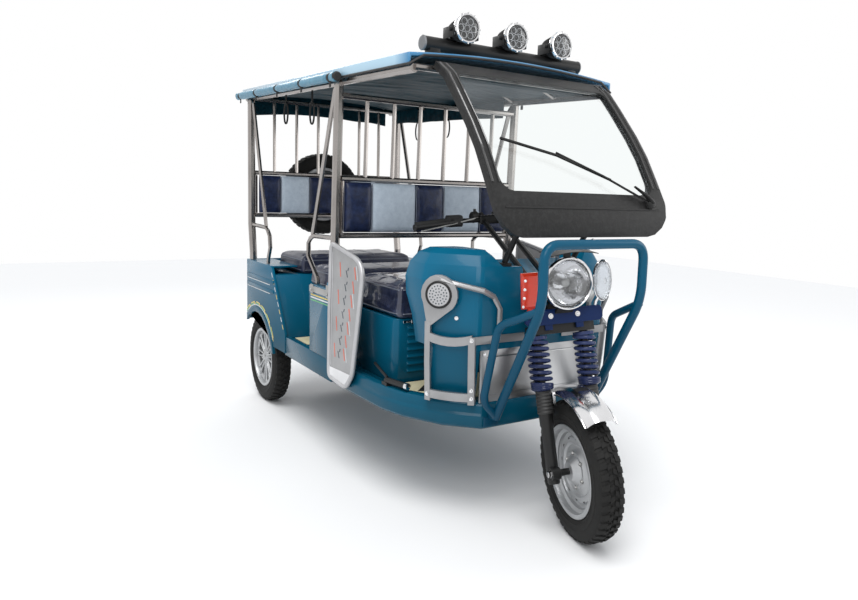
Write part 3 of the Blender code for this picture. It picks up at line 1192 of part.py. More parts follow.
def bumper_mesh():
    """Tube bumper: hoop with raked legs to the deck's front, and a side bar on each side."""
    bend_z = 0.830
    face = DECK_FRONT - TOUCH
    foot_z = 0.402
    hoop = [(-HOOP_X, HOOP_Y, bend_z), (-HOOP_X, HOOP_Y, HOOP_TOP), (HOOP_X, HOOP_Y, HOOP_TOP), (HOOP_X, HOOP_Y, bend_z)]
    path = [(-HOOP_X, face - 0.030, foot_z), *hoop, (HOOP_X, face - 0.030, foot_z)]
    pieces = [tube(path, BUMPER_R, 8, bend=0.062, steps=3)]
    for side in (-1, 1):
        x = side * HOOP_X
        pieces.append(tube(((x, HOOP_Y + 0.004, 0.818), (side * 0.268, -0.852, 0.742), (side * 0.292, -0.812, 0.470),
                            (x, face - 0.032, foot_z + 0.004)), 0.0145, 6, bend=0.035, steps=2))
        pieces.append(rod((x, face - 0.032, foot_z), (x, face - 0.002, foot_z), 0.016, 6))
        pieces.append(block((x - 0.032, x + 0.032), (face - 0.006, face), (DECK_EDGE_Z - 0.036, DECK_EDGE_Z - 0.001)))
    return fuse(*pieces)


def side_guard_mesh():
    """Plate in a tube border beside the driver, on the deck's side."""
    radius = 0.010
    x = -BODY_HALF_W - TOUCH - radius
    outline = [(0.040, 0.386), (0.030, 0.962), (-0.288, 0.906), (-0.194, 0.440), (-0.133, 0.376)]
    border = tube([(x, y, z) for y, z in outline], radius, 6, bend=0.030, closed=True, steps=2)
    plate = prism([tuple(p) for p in round_corners(outline, 0.030, 2, closed=True)], "X", x - 0.002, x + 0.002)
    return fuse(border, plate)


def tail_lamp_mesh():
    """Upright tail lamp on the rear panel, driver's right."""
    y = BODY_REAR + 0.010 + TOUCH
    return block((0.065 - BODY_HALF_W, 0.120 - BODY_HALF_W), (y, y + 0.024), (0.560, 0.690), 0.006)


def wiper_mesh():
    """Pivot, arm and blade on the windscreen."""
    lift = 0.016
    def face(x, z, out=lift):
        points = SCREEN_PROFILE
        for (y0, z0), (y1, z1) in zip(points, points[1:]):
            if z >= z1:
                return Vector((x, y0 + (y1 - y0) * (z - z0) / (z1 - z0) - out, z))
        return Vector((x, points[-1][0] - out, z))
    pivot = face(0.305, 1.165, 0.0)
    normal = Vector((0, -0.94, 0.34)).normalized()
    boss = turned([(0.0008, 0.0), (0.0008, 0.014), (0.016, 0.011), (0.016, 0.0)], 10, pivot, normal)
    arm = tube((pivot + normal * 0.012, face(0.10, 1.262), face(-0.084, 1.333)), 0.0045, 6)
    blade = tube((face(-0.300, 1.369, 0.011), face(-0.084, 1.325, 0.013), face(0.134, 1.250, 0.011)), 0.0055, 6)
    return fuse(boss, arm, blade)


def lamp_bar_mesh():
    """Tube across the front of the roof with its three floodlights."""
    y, radius = -0.470, 0.026
    z = roof_under(y) + ROOF_T + radius + 0.004
    pieces = [rod((-0.370, y, z), (0.370, y, z), radius, 10)]
    for x in (-0.225, 0.0, 0.225):
        centre = (x, y - 0.070, z + 0.060)
        pieces.append(turned([(0.006, 0.0), (0.0, 0.0525), (-0.018, 0.0525), (-0.022, 0.040), (-0.088, 0.032),
                              (-0.092, 0.0)], 14, centre, (0, -1, 0)))
        pieces.append(block((x - 0.020, x + 0.020), (y - 0.018, y + 0.018), (z + 0.010, z + 0.035)))
    for x in (-0.330, 0.330):
        low = roof_under(y, abs(x) - 0.024) + ROOF_T + 0.0008
        pieces.append(block((x - 0.022, x + 0.022), (y - 0.020, y + 0.020), (low, z)))
    return fuse(*pieces)


def pedal_mesh():
    """Brake pedal on the deck's rim, its arm and its cross tube."""
    z = DECK_TOP + TOUCH
    x = 0.044 - BODY_HALF_W
    base = block((x - 0.012, x + 0.008), (-0.410, -0.370), (z, z + 0.012))
    arm = tube(((x - 0.002, -0.395, z + 0.006), (x, -0.390, z + 0.030), (x + 0.006, -0.275, z + 0.060)), 0.006, 6)
    bar = rod((x, -0.385, z + 0.018), (x + 0.022, -0.515, z + 0.020), 0.0125, 8)
    return fuse(base, arm, bar)


def build():
    clear_scene()
    vehicle = empty("vehicle", matrix=Matrix.Translation((0, VEHICLE_Y, 0)))

    # Wheels
    tyre = tyre_mesh()
    axle_z = axle_height(tyre)
    steer_at = on_axis(0.5 * (HEAD_TUBE_Z[0] + HEAD_TUBE_Z[1]))
    steering = empty("steering_axis", vehicle, Matrix.Translation(steer_at) @ Matrix.Rotation(REST_STEER, 4, AXIS))
    front_hub = Vector((0.0, FRONT_AXLE, axle_z))
    front_wheel = empty("front_wheel_axis", steering, Matrix.Translation(front_hub - steer_at))
    node("front_tyre", tyre, "rubber", front_wheel)
    node("front_rim", disc_rim(), "steel", front_wheel)
    for name, side in (("right", -1), ("left", 1)):
        hub = empty(f"rear_{name}_axis", vehicle, Matrix.Translation((side * HALF_TRACK, REAR_AXLE, TYRE_R)))
        node(f"rear_{name}_tyre", tyre.copy(), "rubber", hub)
        node(f"rear_{name}_rim", spoke_rim(side), "alloy", hub)

    # Steering body
    def steered(name, mesh, look):
        node(name, moved(mesh, Matrix.Translation(-steer_at)), look, steering)

    steered("fork", fork_mesh(axle_z), "black")
    steered("fork_spring_right", spring_mesh(-LEG_X), "navy")
    steered("fork_spring_left", spring_mesh(LEG_X), "navy")
    steered("yoke_plate", yoke_plate(), "navy")
    steered("headlamp", headlamp_mesh(), "chrome")
    steered("side_lamp", side_lamp_mesh(1, 0.036, 0.078, 3), "glass")
    steered("indicator", side_lamp_mesh(-1, 0.030, 0.062, 1), "orange")
    steered("front_mudguard", mudguard_mesh(axle_z), "chrome")
    bar, clamp, width = handlebar_mesh()
    steered("handlebar", bar, "black")
    for name, side in (("right", -1), ("left", 1)):
        steered(f"grip_{name}", grip_mesh(clamp, width, side), "black")

    # Chassis and running gear
    fixed = (("chassis_frame", chassis_mesh(), "black"), ("rear_axle", rear_axle_mesh(), "black"),
             ("floor_deck", floor_deck_mesh(), "blue"), ("passenger_floor", passenger_floor_mesh(), "blue"),
             ("rear_panel", rear_panel_mesh(), "blue"), ("battery_pack", battery_mesh(), "black"))
    for name, mesh, look in fixed:
        node(name, mesh, look, vehicle)
    paired = (("leaf_spring", leaf_spring_mesh, "black"), ("rear_fender", fender_mesh, "blue"),
              ("side_panel", side_panel_mesh, "blue"), ("tail_lamp", tail_lamp_mesh, "orange"),
              ("curtain_roll", curtain_roll_mesh, "blue"), ("cowl_guard", guard_mesh, "alloy"),
              ("side_guard", side_guard_mesh, "alloy"))
    for name, maker, look in paired:
        for side, mesh in both(maker).items():
            node(f"{name}_{side}", mesh, look, vehicle)

    # Seats
    def middle_lean(z):
        return post_lean(z, MIDDLE_POST)

    def rear_lean(z):
        return post_lean(z, REAR_POST)

    seats = (("driver_seat_base", seat_base_mesh(), "blue"),
             ("driver_seat", cushion_mesh((-SEAT_BASE_HALF_W, SEAT_BASE_HALF_W), (SEAT_BASE_Y[0] - 0.020, SEAT_BASE_Y[1] - 0.002),
                                          (SEAT_BASE_TOP + TOUCH, SEAT_CUSHION_TOP), 0.030), "seat"),
             ("front_bench_base", bench_base_mesh(FRONT_BENCH_Y[1] - 0.02, FRONT_BENCH_Y[1], FRONT_BENCH_Y[0], BENCH_HALF_W, 0.0),
              "blue"),
             ("front_bench_cushion", cushion_mesh((-BENCH_HALF_W, BENCH_HALF_W), (FRONT_BENCH_Y[0] + 0.002, FRONT_BENCH_Y[1] + 0.020),
                                                  (BENCH_TOP + TOUCH, BENCH_CUSHION_TOP), 0.028), "dark_seat"),
             ("rear_bench_base", bench_base_mesh(*REAR_BENCH_FACE, REAR_BENCH_BACK, REAR_BENCH_HALF_W,
                                                BODY_HALF_W - SKIN - TOUCH), "blue"),
             ("rear_bench_cushion", cushion_mesh((0.002 - REAR_BENCH_HALF_W, REAR_BENCH_HALF_W - 0.002),
                                                 (REAR_BENCH_FACE[1] - 0.015, REAR_BENCH_BACK - 0.010),
                                                 (BENCH_TOP + TOUCH, BENCH_CUSHION_TOP), 0.028), "dark_seat"),
             ("middle_backrest", backrest_mesh(middle_lean, MIDDLE_BACK_Z, 0.026, 0.030), "navy"),
             ("rear_backrest", backrest_mesh(rear_lean, REAR_BACK_Z, 0.042, 0.004), "navy"))
    for name, mesh, look in seats:
        node(name, mesh, look, vehicle)

    # Canopy, windscreen and front
    rest = (("canopy_frame", canopy_frame_mesh(), "chrome"), ("middle_grille", middle_grille_mesh(), "chrome"),
            ("rear_grille", rear_grille_mesh(), "chrome"), ("roof_panel", roof_panel_mesh(), "blue"),
            ("spare_wheel", spare_wheel_mesh(), "rubber"), ("windscreen_frame", screen_frame_mesh(), "black"),
            ("windscreen", screen_glass_mesh(), "glass"), ("wiper", wiper_mesh(), "black"),
            ("lamp_bar", lamp_bar_mesh(), "black"), ("front_cowl", cowl_mesh(), "blue"),
            ("front_panel", front_panel_mesh(), "steel"), ("bumper", bumper_mesh(), "blue"),
            ("brake_pedal", pedal_mesh(), "black"))
    for name, mesh, look in rest:
        node(name, mesh, look, vehicle)


build()
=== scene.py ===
# %% [markdown]
# An electric rickshaw, finished. The solids come from the CAD model and stay where they are. This
# script gives each one its finish and adds what a model of plain solids leaves out: tread, lenses,
# cushions, coils, bolts, straps, stripes and the lining of the roof. It is laid out as a notebook,
# one piece or finish to a cell, and each cell says why its piece is made the way it is.

# %% Load the frame
import json
import math

import bmesh
import bpy
from mathutils import Matrix, Vector, noise
from mathutils.bvhtree import BVHTree

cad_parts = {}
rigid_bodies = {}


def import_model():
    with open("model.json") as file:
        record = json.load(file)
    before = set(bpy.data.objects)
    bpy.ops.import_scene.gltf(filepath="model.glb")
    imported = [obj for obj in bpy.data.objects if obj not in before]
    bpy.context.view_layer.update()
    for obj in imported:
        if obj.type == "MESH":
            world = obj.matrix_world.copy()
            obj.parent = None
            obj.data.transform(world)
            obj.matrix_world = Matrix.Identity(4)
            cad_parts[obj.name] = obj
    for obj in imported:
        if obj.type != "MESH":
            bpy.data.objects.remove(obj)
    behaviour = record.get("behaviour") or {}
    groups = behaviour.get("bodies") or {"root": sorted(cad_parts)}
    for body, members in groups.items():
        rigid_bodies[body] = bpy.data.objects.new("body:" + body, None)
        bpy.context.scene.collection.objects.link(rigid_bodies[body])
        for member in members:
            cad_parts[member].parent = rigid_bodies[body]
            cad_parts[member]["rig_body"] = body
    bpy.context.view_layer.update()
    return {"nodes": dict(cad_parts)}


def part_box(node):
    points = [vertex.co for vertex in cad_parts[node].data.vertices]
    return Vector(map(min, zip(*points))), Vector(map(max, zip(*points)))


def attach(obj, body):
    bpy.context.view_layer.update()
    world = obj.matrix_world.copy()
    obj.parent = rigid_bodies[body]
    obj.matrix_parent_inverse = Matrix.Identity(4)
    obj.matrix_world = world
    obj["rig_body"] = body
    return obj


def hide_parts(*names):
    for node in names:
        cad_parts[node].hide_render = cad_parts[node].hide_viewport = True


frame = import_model()
nodes = frame["nodes"]

# %% [markdown]
# The CAD model was drawn about the midpoint between the axles and then slid so that its box is
# centred. Every place below is written in that drawing frame, so one number carries it across.
# The front fork is drawn straight and then turned on its raked axis, as the real one is parked.

# %% Sizes shared with the frame
VEHICLE_Y = -0.0779
REAR_AXLE = 1.070
FRONT_AXLE = -1.015
HALF_TRACK = 0.420
TYRE_R = 0.245
TYRE_HALF_W = 0.0485
BEAD_R = 0.1524
FLANGE_R = 0.1620
RIM_HALF_W = 0.042
RAKE = math.radians(15.0)
REST_STEER = math.radians(-16.0)
LEG_AHEAD = 0.035
LEG_X = 0.092
ROOF_HALF_W = 0.482
AXIS = Vector((0.0, math.sin(RAKE), math.cos(RAKE)))
ACROSS = Vector((0.0, -math.cos(RAKE), math.sin(RAKE)))
AXIS_FOOT = Vector((0.0, FRONT_AXLE - 0.012 + VEHICLE_Y, 0.0))
STEERED = (Matrix.Translation(AXIS_FOOT) @ Matrix.Rotation(REST_STEER, 4, AXIS)
    @ Matrix.Translation(-AXIS_FOOT))
front_low, front_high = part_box("front_rim")
FRONT_HUB = 0.5 * (front_low + front_high)
STRAIGHT_HUB = STEERED.inverted() @ FRONT_HUB
UP, FORWARD = Vector((0, 0, 1)), Vector((0, -1, 0))
print("front hub", [round(v, 4) for v in FRONT_HUB], "straight", [round(v, 4) for v in STRAIGHT_HUB])


def place(x, y, z):
    """A point of the drawing frame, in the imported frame."""
    return Vector((x, y + VEHICLE_Y, z))


def on_axis(height, ahead=0.0, side=0.0):
    """A point at a height on the steering axis, then ahead of it and to one side, wheel straight."""
    return AXIS_FOOT + AXIS * (height / AXIS.z) + ACROSS * ahead + Vector((side, 0.0, 0.0))


# %% [markdown]
# The camera stands where the photograph was taken: low, ahead of the front wheel and to the driver's
# right. A slightly wide lens gives the strong perspective, and a small shift keeps the framing.

# %% Camera
YAW, PITCH, ROLL = math.radians(33.042), math.radians(-6.558), math.radians(1.842)
PHOTO_W, PHOTO_H = 858, 600
FOCAL_PX = 701.99
CENTRE_PX = (451.853, 275.341)
ahead = Vector((math.sin(YAW) * math.cos(PITCH), math.cos(YAW) * math.cos(PITCH), math.sin(PITCH)))
level = Vector((math.cos(YAW), -math.sin(YAW), 0.0))
rise = level.cross(ahead)
right_hand = level * math.cos(ROLL) + rise * math.sin(ROLL)
overhead = -level * math.sin(ROLL) + rise * math.cos(ROLL)
lens = bpy.data.cameras.new("photo_camera")
lens.sensor_width = 36.0
lens.lens = FOCAL_PX / PHOTO_W * lens.sensor_width
lens.shift_x = (PHOTO_W / 2 - CENTRE_PX[0]) / PHOTO_W
lens.shift_y = -(PHOTO_H / 2 - CENTRE_PX[1]) / PHOTO_W
camera = bpy.data.objects.new("photo_camera", lens)
bpy.context.scene.collection.objects.link(camera)
camera.matrix_world = Matrix((right_hand, overhead, -ahead)).transposed().to_4x4()
camera.matrix_world.translation = place(-1.686, -2.732, 1.181)
bpy.context.scene.camera = camera
bpy.context.scene.view_settings.view_transform = "Standard"
print("lens", round(lens.lens, 2), "mm")

# %% [markdown]
# Studio light for glossy paint: a large soft key lamp high on the camera's left, a broad fill on the
# right and a strip behind the roof. The world is white where the camera, a mirror or the glass looks
# at it, and a plain grey where it only lights things, so that pale surfaces don't wash out.


# %% World, lamps and floor
def aim(obj, target):
    obj.rotation_euler = (target - obj.location).to_track_quat("-Z", "Y").to_euler()


world = bpy.data.worlds.new("studio")
bpy.context.scene.world = world
world.use_nodes = True
tree = world.node_tree
tree.nodes.clear()
path = tree.nodes.new("ShaderNodeLightPath")
seen = tree.nodes.new("ShaderNodeMath")
seen.operation = "MAXIMUM"
seen_all = tree.nodes.new("ShaderNodeMath")
seen_all.operation = "MAXIMUM"
lit = tree.nodes.new("ShaderNodeBackground")
lit.inputs["Color"].default_value = (0.93, 0.96, 1.0, 1.0)
lit.inputs["Strength"].default_value = 0.55
white = tree.nodes.new("ShaderNodeBackground")
white.inputs["Color"].default_value = (1.0, 1.0, 1.0, 1.0)
choose = tree.nodes.new("ShaderNodeMixShader")
out = tree.nodes.new("ShaderNodeOutputWorld")
tree.links.new(path.outputs["Is Camera Ray"], seen.inputs[0])
tree.links.new(path.outputs["Is Glossy Ray"], seen.inputs[1])
tree.links.new(seen.outputs[0], seen_all.inputs[0])
tree.links.new(path.outputs["Is Transmission Ray"], seen_all.inputs[1])
tree.links.new(seen_all.outputs[0], choose.inputs["Fac"])
tree.links.new(lit.outputs[0], choose.inputs[1])
tree.links.new(white.outputs[0], choose.inputs[2])
tree.links.new(choose.outputs[0], out.inputs["Surface"])

sun = bpy.data.lights.new("sky", "SUN")
sun.energy = 1.9
sun.angle = math.radians(35.0)
sun_obj = bpy.data.objects.new("sky", sun)
bpy.context.scene.collection.objects.link(sun_obj)
sun_obj.rotation_euler = (math.radians(14.0), math.radians(-16.0), 0.0)
LAMPS = (                     # name, place, size, watts
    ("key", (-3.2, -3.4, 3.6), (2.6, 1.8), 70.0), ("fill", (3.6, -2.6, 2.2), (2.2, 2.2), 30.0),
    ("strip", (0.6, 3.6, 3.4), (3.0, 0.8), 40.0),
)
for name, spot, size, power in LAMPS:
    lamp = bpy.data.lights.new(name, "AREA")
    lamp.shape = "RECTANGLE"
    lamp.size, lamp.size_y = size
    lamp.energy = power
    lamp_obj = bpy.data.objects.new(name, lamp)
    bpy.context.scene.collection.objects.link(lamp_obj)
    lamp_obj.location = spot
    aim(lamp_obj, Vector((0.0, 0.0, 0.8)))

# %% [markdown]
# A few helpers keep the cells short.


# %% Helpers for shapes
def loft(rings, closed=False):
    """Joins rings of points by quads. closed joins the last ring to the first."""
    bm = bmesh.new()
    rows = [[bm.verts.new(p) for p in ring] for ring in rings]
    pairs = list(zip(rows, rows[1:]))
    if closed:
        pairs.append((rows[-1], rows[0]))
    count = len(rows[0])
    for low, high in pairs:
        for i in range(count):
            j = (i + 1) % count
            bm.faces.new((low[i], low[j], high[j], high[i]))
    if not closed:
        bm.faces.new(list(reversed(rows[0])))
        bm.faces.new(rows[-1])
    bmesh.ops.recalc_face_normals(bm, faces=bm.faces)
    return bm


def basis(axis):
    axis = Vector(axis).normalized()
    side = axis.cross(Vector((0, 0, 1)) if abs(axis.z) < 0.9 else Vector((1, 0, 0))).normalized()
    return axis, side, axis.cross(side)


def turned(profile, steps, centre=(0, 0, 0), axis=(1, 0, 0), ring=False):
    """Revolves (along, radius) points about an axis; ring closes the outline on itself."""
    axis, side, up = basis(axis)
    centre = Vector(centre)
    bm = bmesh.new()
    rows = []
    poles = {i: bm.verts.new(centre + axis * t) for i, (t, r) in enumerate(profile) if r < 1e-6}
    for k in range(steps):
        turn = math.tau * k / steps
        spoke = side * math.cos(turn) + up * math.sin(turn)
        rows.append([poles.get(i) or bm.verts.new(centre + axis * t + spoke * r)
            for i, (t, r) in enumerate(profile)])
    last = len(profile) if ring else len(profile) - 1
    for k in range(steps):
        here, there = rows[k], rows[(k + 1) % steps]
        for i in range(last):
            j = (i + 1) % len(profile)
            corners = list(dict.fromkeys((here[i], here[j], there[j], there[i])))
            if len(corners) > 2:
                bm.faces.new(corners)
    bmesh.ops.recalc_face_normals(bm, faces=bm.faces)
    return bm


def smooth_path(points, bend, steps=6):
    """Rounds the corners of a path with arcs of about the given reach."""
    points = [Vector(p) for p in points]
    out_points = [points[0]]
    for before, corner, after in zip(points, points[1:], points[2:]):
        reach = min(bend, 0.48 * (corner - before).length, 0.48 * (after - corner).length)
        start = corner + (before - corner).normalized() * reach
        end = corner + (after - corner).normalized() * reach
        for k in range(steps + 1):
            t = k / steps
            out_points.append(start.lerp(corner, t).lerp(corner.lerp(end, t), t))
    out_points.append(points[-1])
    return out_points


def tube(points, radius, sides=12, closed=False, flat=1.0, spin=None):
    """A bar along a path. flat squashes it along its own second axis."""
    points = [Vector(p) for p in points]
    count = len(points)
    rings = []
    normal = None
    for i, point in enumerate(points):
        before = points[i - 1] if i or closed else point
        after = points[(i + 1) % count] if i < count - 1 or closed else point
        along = (after - before).normalized()
        if normal is None:
            normal = spin.copy() if spin is not None else basis(along)[1]
        normal = (normal - along * normal.dot(along)).normalized()
        other = along.cross(normal)
        r = radius[i] if isinstance(radius, (list, tuple)) else radius
        rings.append([point + normal * (r * math.cos(math.tau * k / sides))
            + other * (r * flat * math.sin(math.tau * k / sides)) for k in range(sides)])
    return loft(rings, closed=closed)


def rod(start_at, end_at, radius, steps, centre, axis=(1, 0, 0)):
    """A round bar between two distances along an axis."""
    return turned([(start_at, 0.0), (start_at, radius), (end_at, radius), (end_at, 0.0)], steps, centre, axis)


def prism(outline, axis, low, high):
    """Extrudes an outline along X, Y or Z."""
    def corner(a, b, c):
        return {"X": (c, a, b), "Y": (a, c, b), "Z": (a, b, c)}[axis]
    return loft([[Vector(corner(a, b, at)) for a, b in outline] for at in (low, high)])


def block(x, y, z, edge=0.0, segments=2):
    bm = bmesh.new()
    bmesh.ops.create_cube(bm, size=1.0)
    for vert in bm.verts:
        for i, (low, high) in enumerate((x, y, z)):
            vert.co[i] = low if vert.co[i] < 0 else high
    if edge:
        bmesh.ops.bevel(bm, geom=bm.edges[:], offset=edge, segments=segments, profile=0.5, affect="EDGES")
    bmesh.ops.recalc_face_normals(bm, faces=bm.faces)
    return bm


def block_at(x, y, z, edge=0.0):
    """A block whose length along the vehicle is given in the drawing frame."""
    return block(x, (y[0] + VEHICLE_Y, y[1] + VEHICLE_Y), z, edge)


def moved(bm, matrix):
    bmesh.ops.transform(bm, matrix=matrix, verts=bm.verts)
    return bm


def piece(name, body, finish, shapes, stands_for=(), sharp=35.0, steered=False):
    """Joins shapes into one object that rides on a body."""
    mesh = bpy.data.meshes.new(name)
    joined = bmesh.new()
    for bm in shapes:
        part = bpy.data.meshes.new("part")
        bm.to_mesh(part)
        bm.free()
        joined.from_mesh(part)
        bpy.data.meshes.remove(part)
    if steered:
        joined.transform(STEERED)
    joined.to_mesh(mesh)
    joined.free()
    mesh.materials.append(finish)
    mesh.shade_smooth()
    mesh.set_sharp_from_angle(angle=math.radians(sharp))
    obj = bpy.data.objects.new(name, mesh)
    bpy.context.scene.collection.objects.link(obj)
    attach(obj, body)
    if stands_for:
        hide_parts(*stands_for)
    return obj


def faces_of(obj):
    return sum(len(p.vertices) - 2 for p in obj.data.polygons)


floor_mesh = bpy.data.meshes.new("floor")
floor_mesh.from_pydata([(-9, -9, 0), (9, -9, 0), (9, 9, 0), (-9, 9, 0)], [], [(0, 1, 2, 3)])
floor = bpy.data.objects.new("floor", floor_mesh)
bpy.context.scene.collection.objects.link(floor)
print("floor", floor.dimensions[:2])

# %% [markdown]
# Finishes next. Every one is a Principled shader whose colour, roughness and bump come from procedural
# textures on Object coordinates, so a pattern keeps its real size on every panel. `start` makes the
# shader, and the small functions after it each add one thing that a real surface has: a slow drift of
# colour, a fine grain, or a bump.


# %% Helpers for finishes
def start(name, colour, roughness, metallic=0.0, **fixed):
    material = bpy.data.materials.new(name)
    material.use_nodes = True
    shader = material.node_tree.nodes["Principled BSDF"]
    shader.inputs["Base Color"].default_value = (*colour, 1.0)
    shader.inputs["Roughness"].default_value = roughness
    shader.inputs["Metallic"].default_value = metallic
    for socket, value in fixed.items():
        shader.inputs[socket.replace("_", " ")].default_value = value
    material.diffuse_color = (*colour, 1.0)
    return material


def node_of(material, kind, **settings):
    made = material.node_tree.nodes.new(kind)
    for key, value in settings.items():
        if hasattr(made, key):
            setattr(made, key, value)
        else:
            made.inputs[key.replace("_", " ")].default_value = value
    return made


def wire(material, source, target):
    material.node_tree.links.new(source, target)


def shader_of(material):
    return material.node_tree.nodes["Principled BSDF"]


def spot(material, stretch=(1.0, 1.0, 1.0)):
    """Object coordinates through a Mapping node."""
    source = node_of(material, "ShaderNodeTexCoord")
    mapping = node_of(material, "ShaderNodeMapping")
    mapping.inputs["Scale"].default_value = stretch
    wire(material, source.outputs["Object"], mapping.inputs["Vector"])
    return mapping.outputs["Vector"]


def cloudy(material, vector, scale, detail=3.0, rough=0.55):
    texture = node_of(material, "ShaderNodeTexNoise", Scale=scale, Detail=detail, Roughness=rough)
    wire(material, vector, texture.inputs["Vector"])
    return texture.outputs["Fac"]


def blend_of(material, fac, dark, light, low=0.3, high=0.7):
    """A colour between two, by a factor's place between low and high."""
    ramp = node_of(material, "ShaderNodeValToRGB")
    ramp.color_ramp.elements[0].position = low
    ramp.color_ramp.elements[1].position = high
    ramp.color_ramp.elements[0].color = (*dark, 1.0)
    ramp.color_ramp.elements[1].color = (*light, 1.0)
    wire(material, fac, ramp.inputs["Fac"])
    return ramp.outputs["Color"]


def spread(material, fac, low, high):
    """A factor stretched to the range low to high."""
    shift = node_of(material, "ShaderNodeMapRange")
    shift.inputs["To Min"].default_value = low
    shift.inputs["To Max"].default_value = high
    wire(material, fac, shift.inputs["Value"])
    return shift.outputs["Result"]


def colour_by(material, colour):
    wire(material, colour, shader_of(material).inputs["Base Color"])


def rough_by(material, fac, low, high):
    wire(material, spread(material, fac, low, high), shader_of(material).inputs["Roughness"])


def bump_by(material, height, strength, distance):
    bump = node_of(material, "ShaderNodeBump", Strength=strength, Distance=distance)
    wire(material, height, bump.inputs["Height"])
    shader = shader_of(material)
    if shader.inputs["Normal"].is_linked:
        wire(material, shader.inputs["Normal"].links[0].from_socket, bump.inputs["Normal"])
    wire(material, bump.outputs["Normal"], shader.inputs["Normal"])


def grey(value):
    return (value, value, value)


# %% [markdown]
# The body is teal gloss paint over pressed sheet and moulded plastic. Real gloss paint has a slight
# waviness, called orange peel, that breaks up reflections. It drifts a little in tone at random, and its
# colour also runs from darker low down to lighter high up: painted shade on the skirts near the road and
# a painted highlight on the tops. A clear coat on top gives the sharp highlight over the softer colour.


# %% Paints
def gloss_paint(name, deep, bright, roughness=0.30, low_z=0.35, high_z=1.0):
    paint = start(name, bright, roughness, Coat_Weight=0.10, Coat_Roughness=0.05, Specular_IOR_Level=0.14)
    where = spot(paint)
    split = node_of(paint, "ShaderNodeSeparateXYZ")
    wire(paint, where, split.inputs["Vector"])
    # A ramp by height: the deep colour low down is painted shade, and the bright colour high up is a painted
    # highlight.
    height = node_of(paint, "ShaderNodeMapRange")
    height.inputs["From Min"].default_value = low_z
    height.inputs["From Max"].default_value = high_z
    wire(paint, split.outputs["Z"], height.inputs["Value"])
    # drift mixes a random drift of tone with that painted light by height.
    drift = node_of(paint, "ShaderNodeMath", operation="MULTIPLY_ADD")
    drift.inputs[1].default_value = 0.45
    wire(paint, cloudy(paint, where, 3.2, 4.0), drift.inputs[0])
    wire(paint, height.outputs["Result"], drift.inputs[2])
    colour_by(paint, blend_of(paint, drift.outputs[0], deep, bright, 0.15, 1.05))
    rough_by(paint, cloudy(paint, where, 5.0), roughness - 0.03, roughness + 0.03)
    bump_by(paint, cloudy(paint, where, 30.0, 1.0), 0.006, 0.001)
    return paint


# In each paint below, the first colour is painted shade low down and the second a painted highlight high up.
body_paint = gloss_paint("body_paint", (0.0015, 0.055, 0.092), (0.0030, 0.118, 0.215), 0.24)
bumper_paint = gloss_paint("bumper_paint", (0.0015, 0.045, 0.088), (0.0025, 0.080, 0.150), 0.22, 0.4, 1.1)
navy_paint = gloss_paint("navy_paint", (0.0015, 0.008, 0.045), (0.004, 0.020, 0.090), 0.30, 0.5, 0.9)


def satin(name, colour, roughness, metallic=0.0, grain=240.0, lift=0.06, **fixed):
    """Satin paint, cast metal or moulded plastic: a fine grain and a drift of roughness."""
    made = start(name, colour, roughness, metallic, **fixed)
    where = spot(made)
    darker = tuple(0.78 * v for v in colour)
    colour_by(made, blend_of(made, cloudy(made, where, 9.0, 5.0), darker, colour))
    rough_by(made, cloudy(made, where, 30.0), roughness - 0.07, roughness + 0.08)
    bump_by(made, cloudy(made, where, grain, 2.0), lift, 0.001)
    return made


black_satin = satin("black_satin", grey(0.009), 0.38, Specular_IOR_Level=0.35)
# Black plastic parts. The same finish also paints the shade of the mudguard's slot and the shade on the mat
# beside the brake pedal.
black_plastic_and_painted_shade = satin("black_plastic_and_painted_shade", grey(0.013), 0.46, grain=900.0, lift=0.20, Specular_IOR_Level=0.35)
pale_casting = satin("pale_casting", (0.52, 0.52, 0.53), 0.36, 0.45)
guard_silver = satin("guard_silver", (0.36, 0.36, 0.365), 0.34, 0.60, Coat_Weight=0.15, Coat_Roughness=0.20)
wheel_silver = satin("wheel_silver", (0.47, 0.48, 0.49), 0.38, 0.65)
grey_casting = satin("grey_casting", (0.22, 0.225, 0.235), 0.42, 0.6)
# Dark hub parts. The same black also fills the front rim's hole cups, where it is painted shade.
hub_black_and_hole_shade = satin("hub_black_and_hole_shade", grey(0.028), 0.5, 0.2)
print(len(bpy.data.materials), "materials so far")

# %% [markdown]
# Bare metal: the canopy's posts and rods are polished stainless tube, with faint scratches along them
# that stretch each highlight. A stretched noise does it. Chrome has none, so it reflects sharply.


# %% Metals
def polished(name, colour, roughness, stretch=(1.0, 1.0, 1.0), streak=0.10):
    metal = start(name, colour, roughness, 1.0)
    lengthwise = cloudy(metal, spot(metal, stretch), 60.0, 4.0)
    broad = cloudy(metal, spot(metal), 6.0, 2.0)
    colour_by(metal, blend_of(metal, broad, tuple(0.80 * v for v in colour), colour))
    rough_by(metal, lengthwise, max(0.02, roughness - streak), roughness + streak)
    return metal


post_steel = polished("post_steel", (0.36, 0.335, 0.32), 0.22, (14.0, 14.0, 0.6))
brushed_steel = polished("brushed_steel", (0.58, 0.58, 0.585), 0.33, (0.8, 9.0, 22.0), 0.09)
chrome = polished("chrome", (0.80, 0.80, 0.81), 0.07, streak=0.03)
guard_chrome = polished("guard_chrome", (0.78, 0.78, 0.79), 0.17, streak=0.03)
dull_zinc = polished("dull_zinc", (0.42, 0.42, 0.41), 0.42, streak=0.10)

# %% [markdown]
# Tyre rubber is nearly black and matt, lighter where dust sits in its grain. The moulded trim round
# the windscreen is dark grey plastic with a coarse leather grain that catches the light in specks.

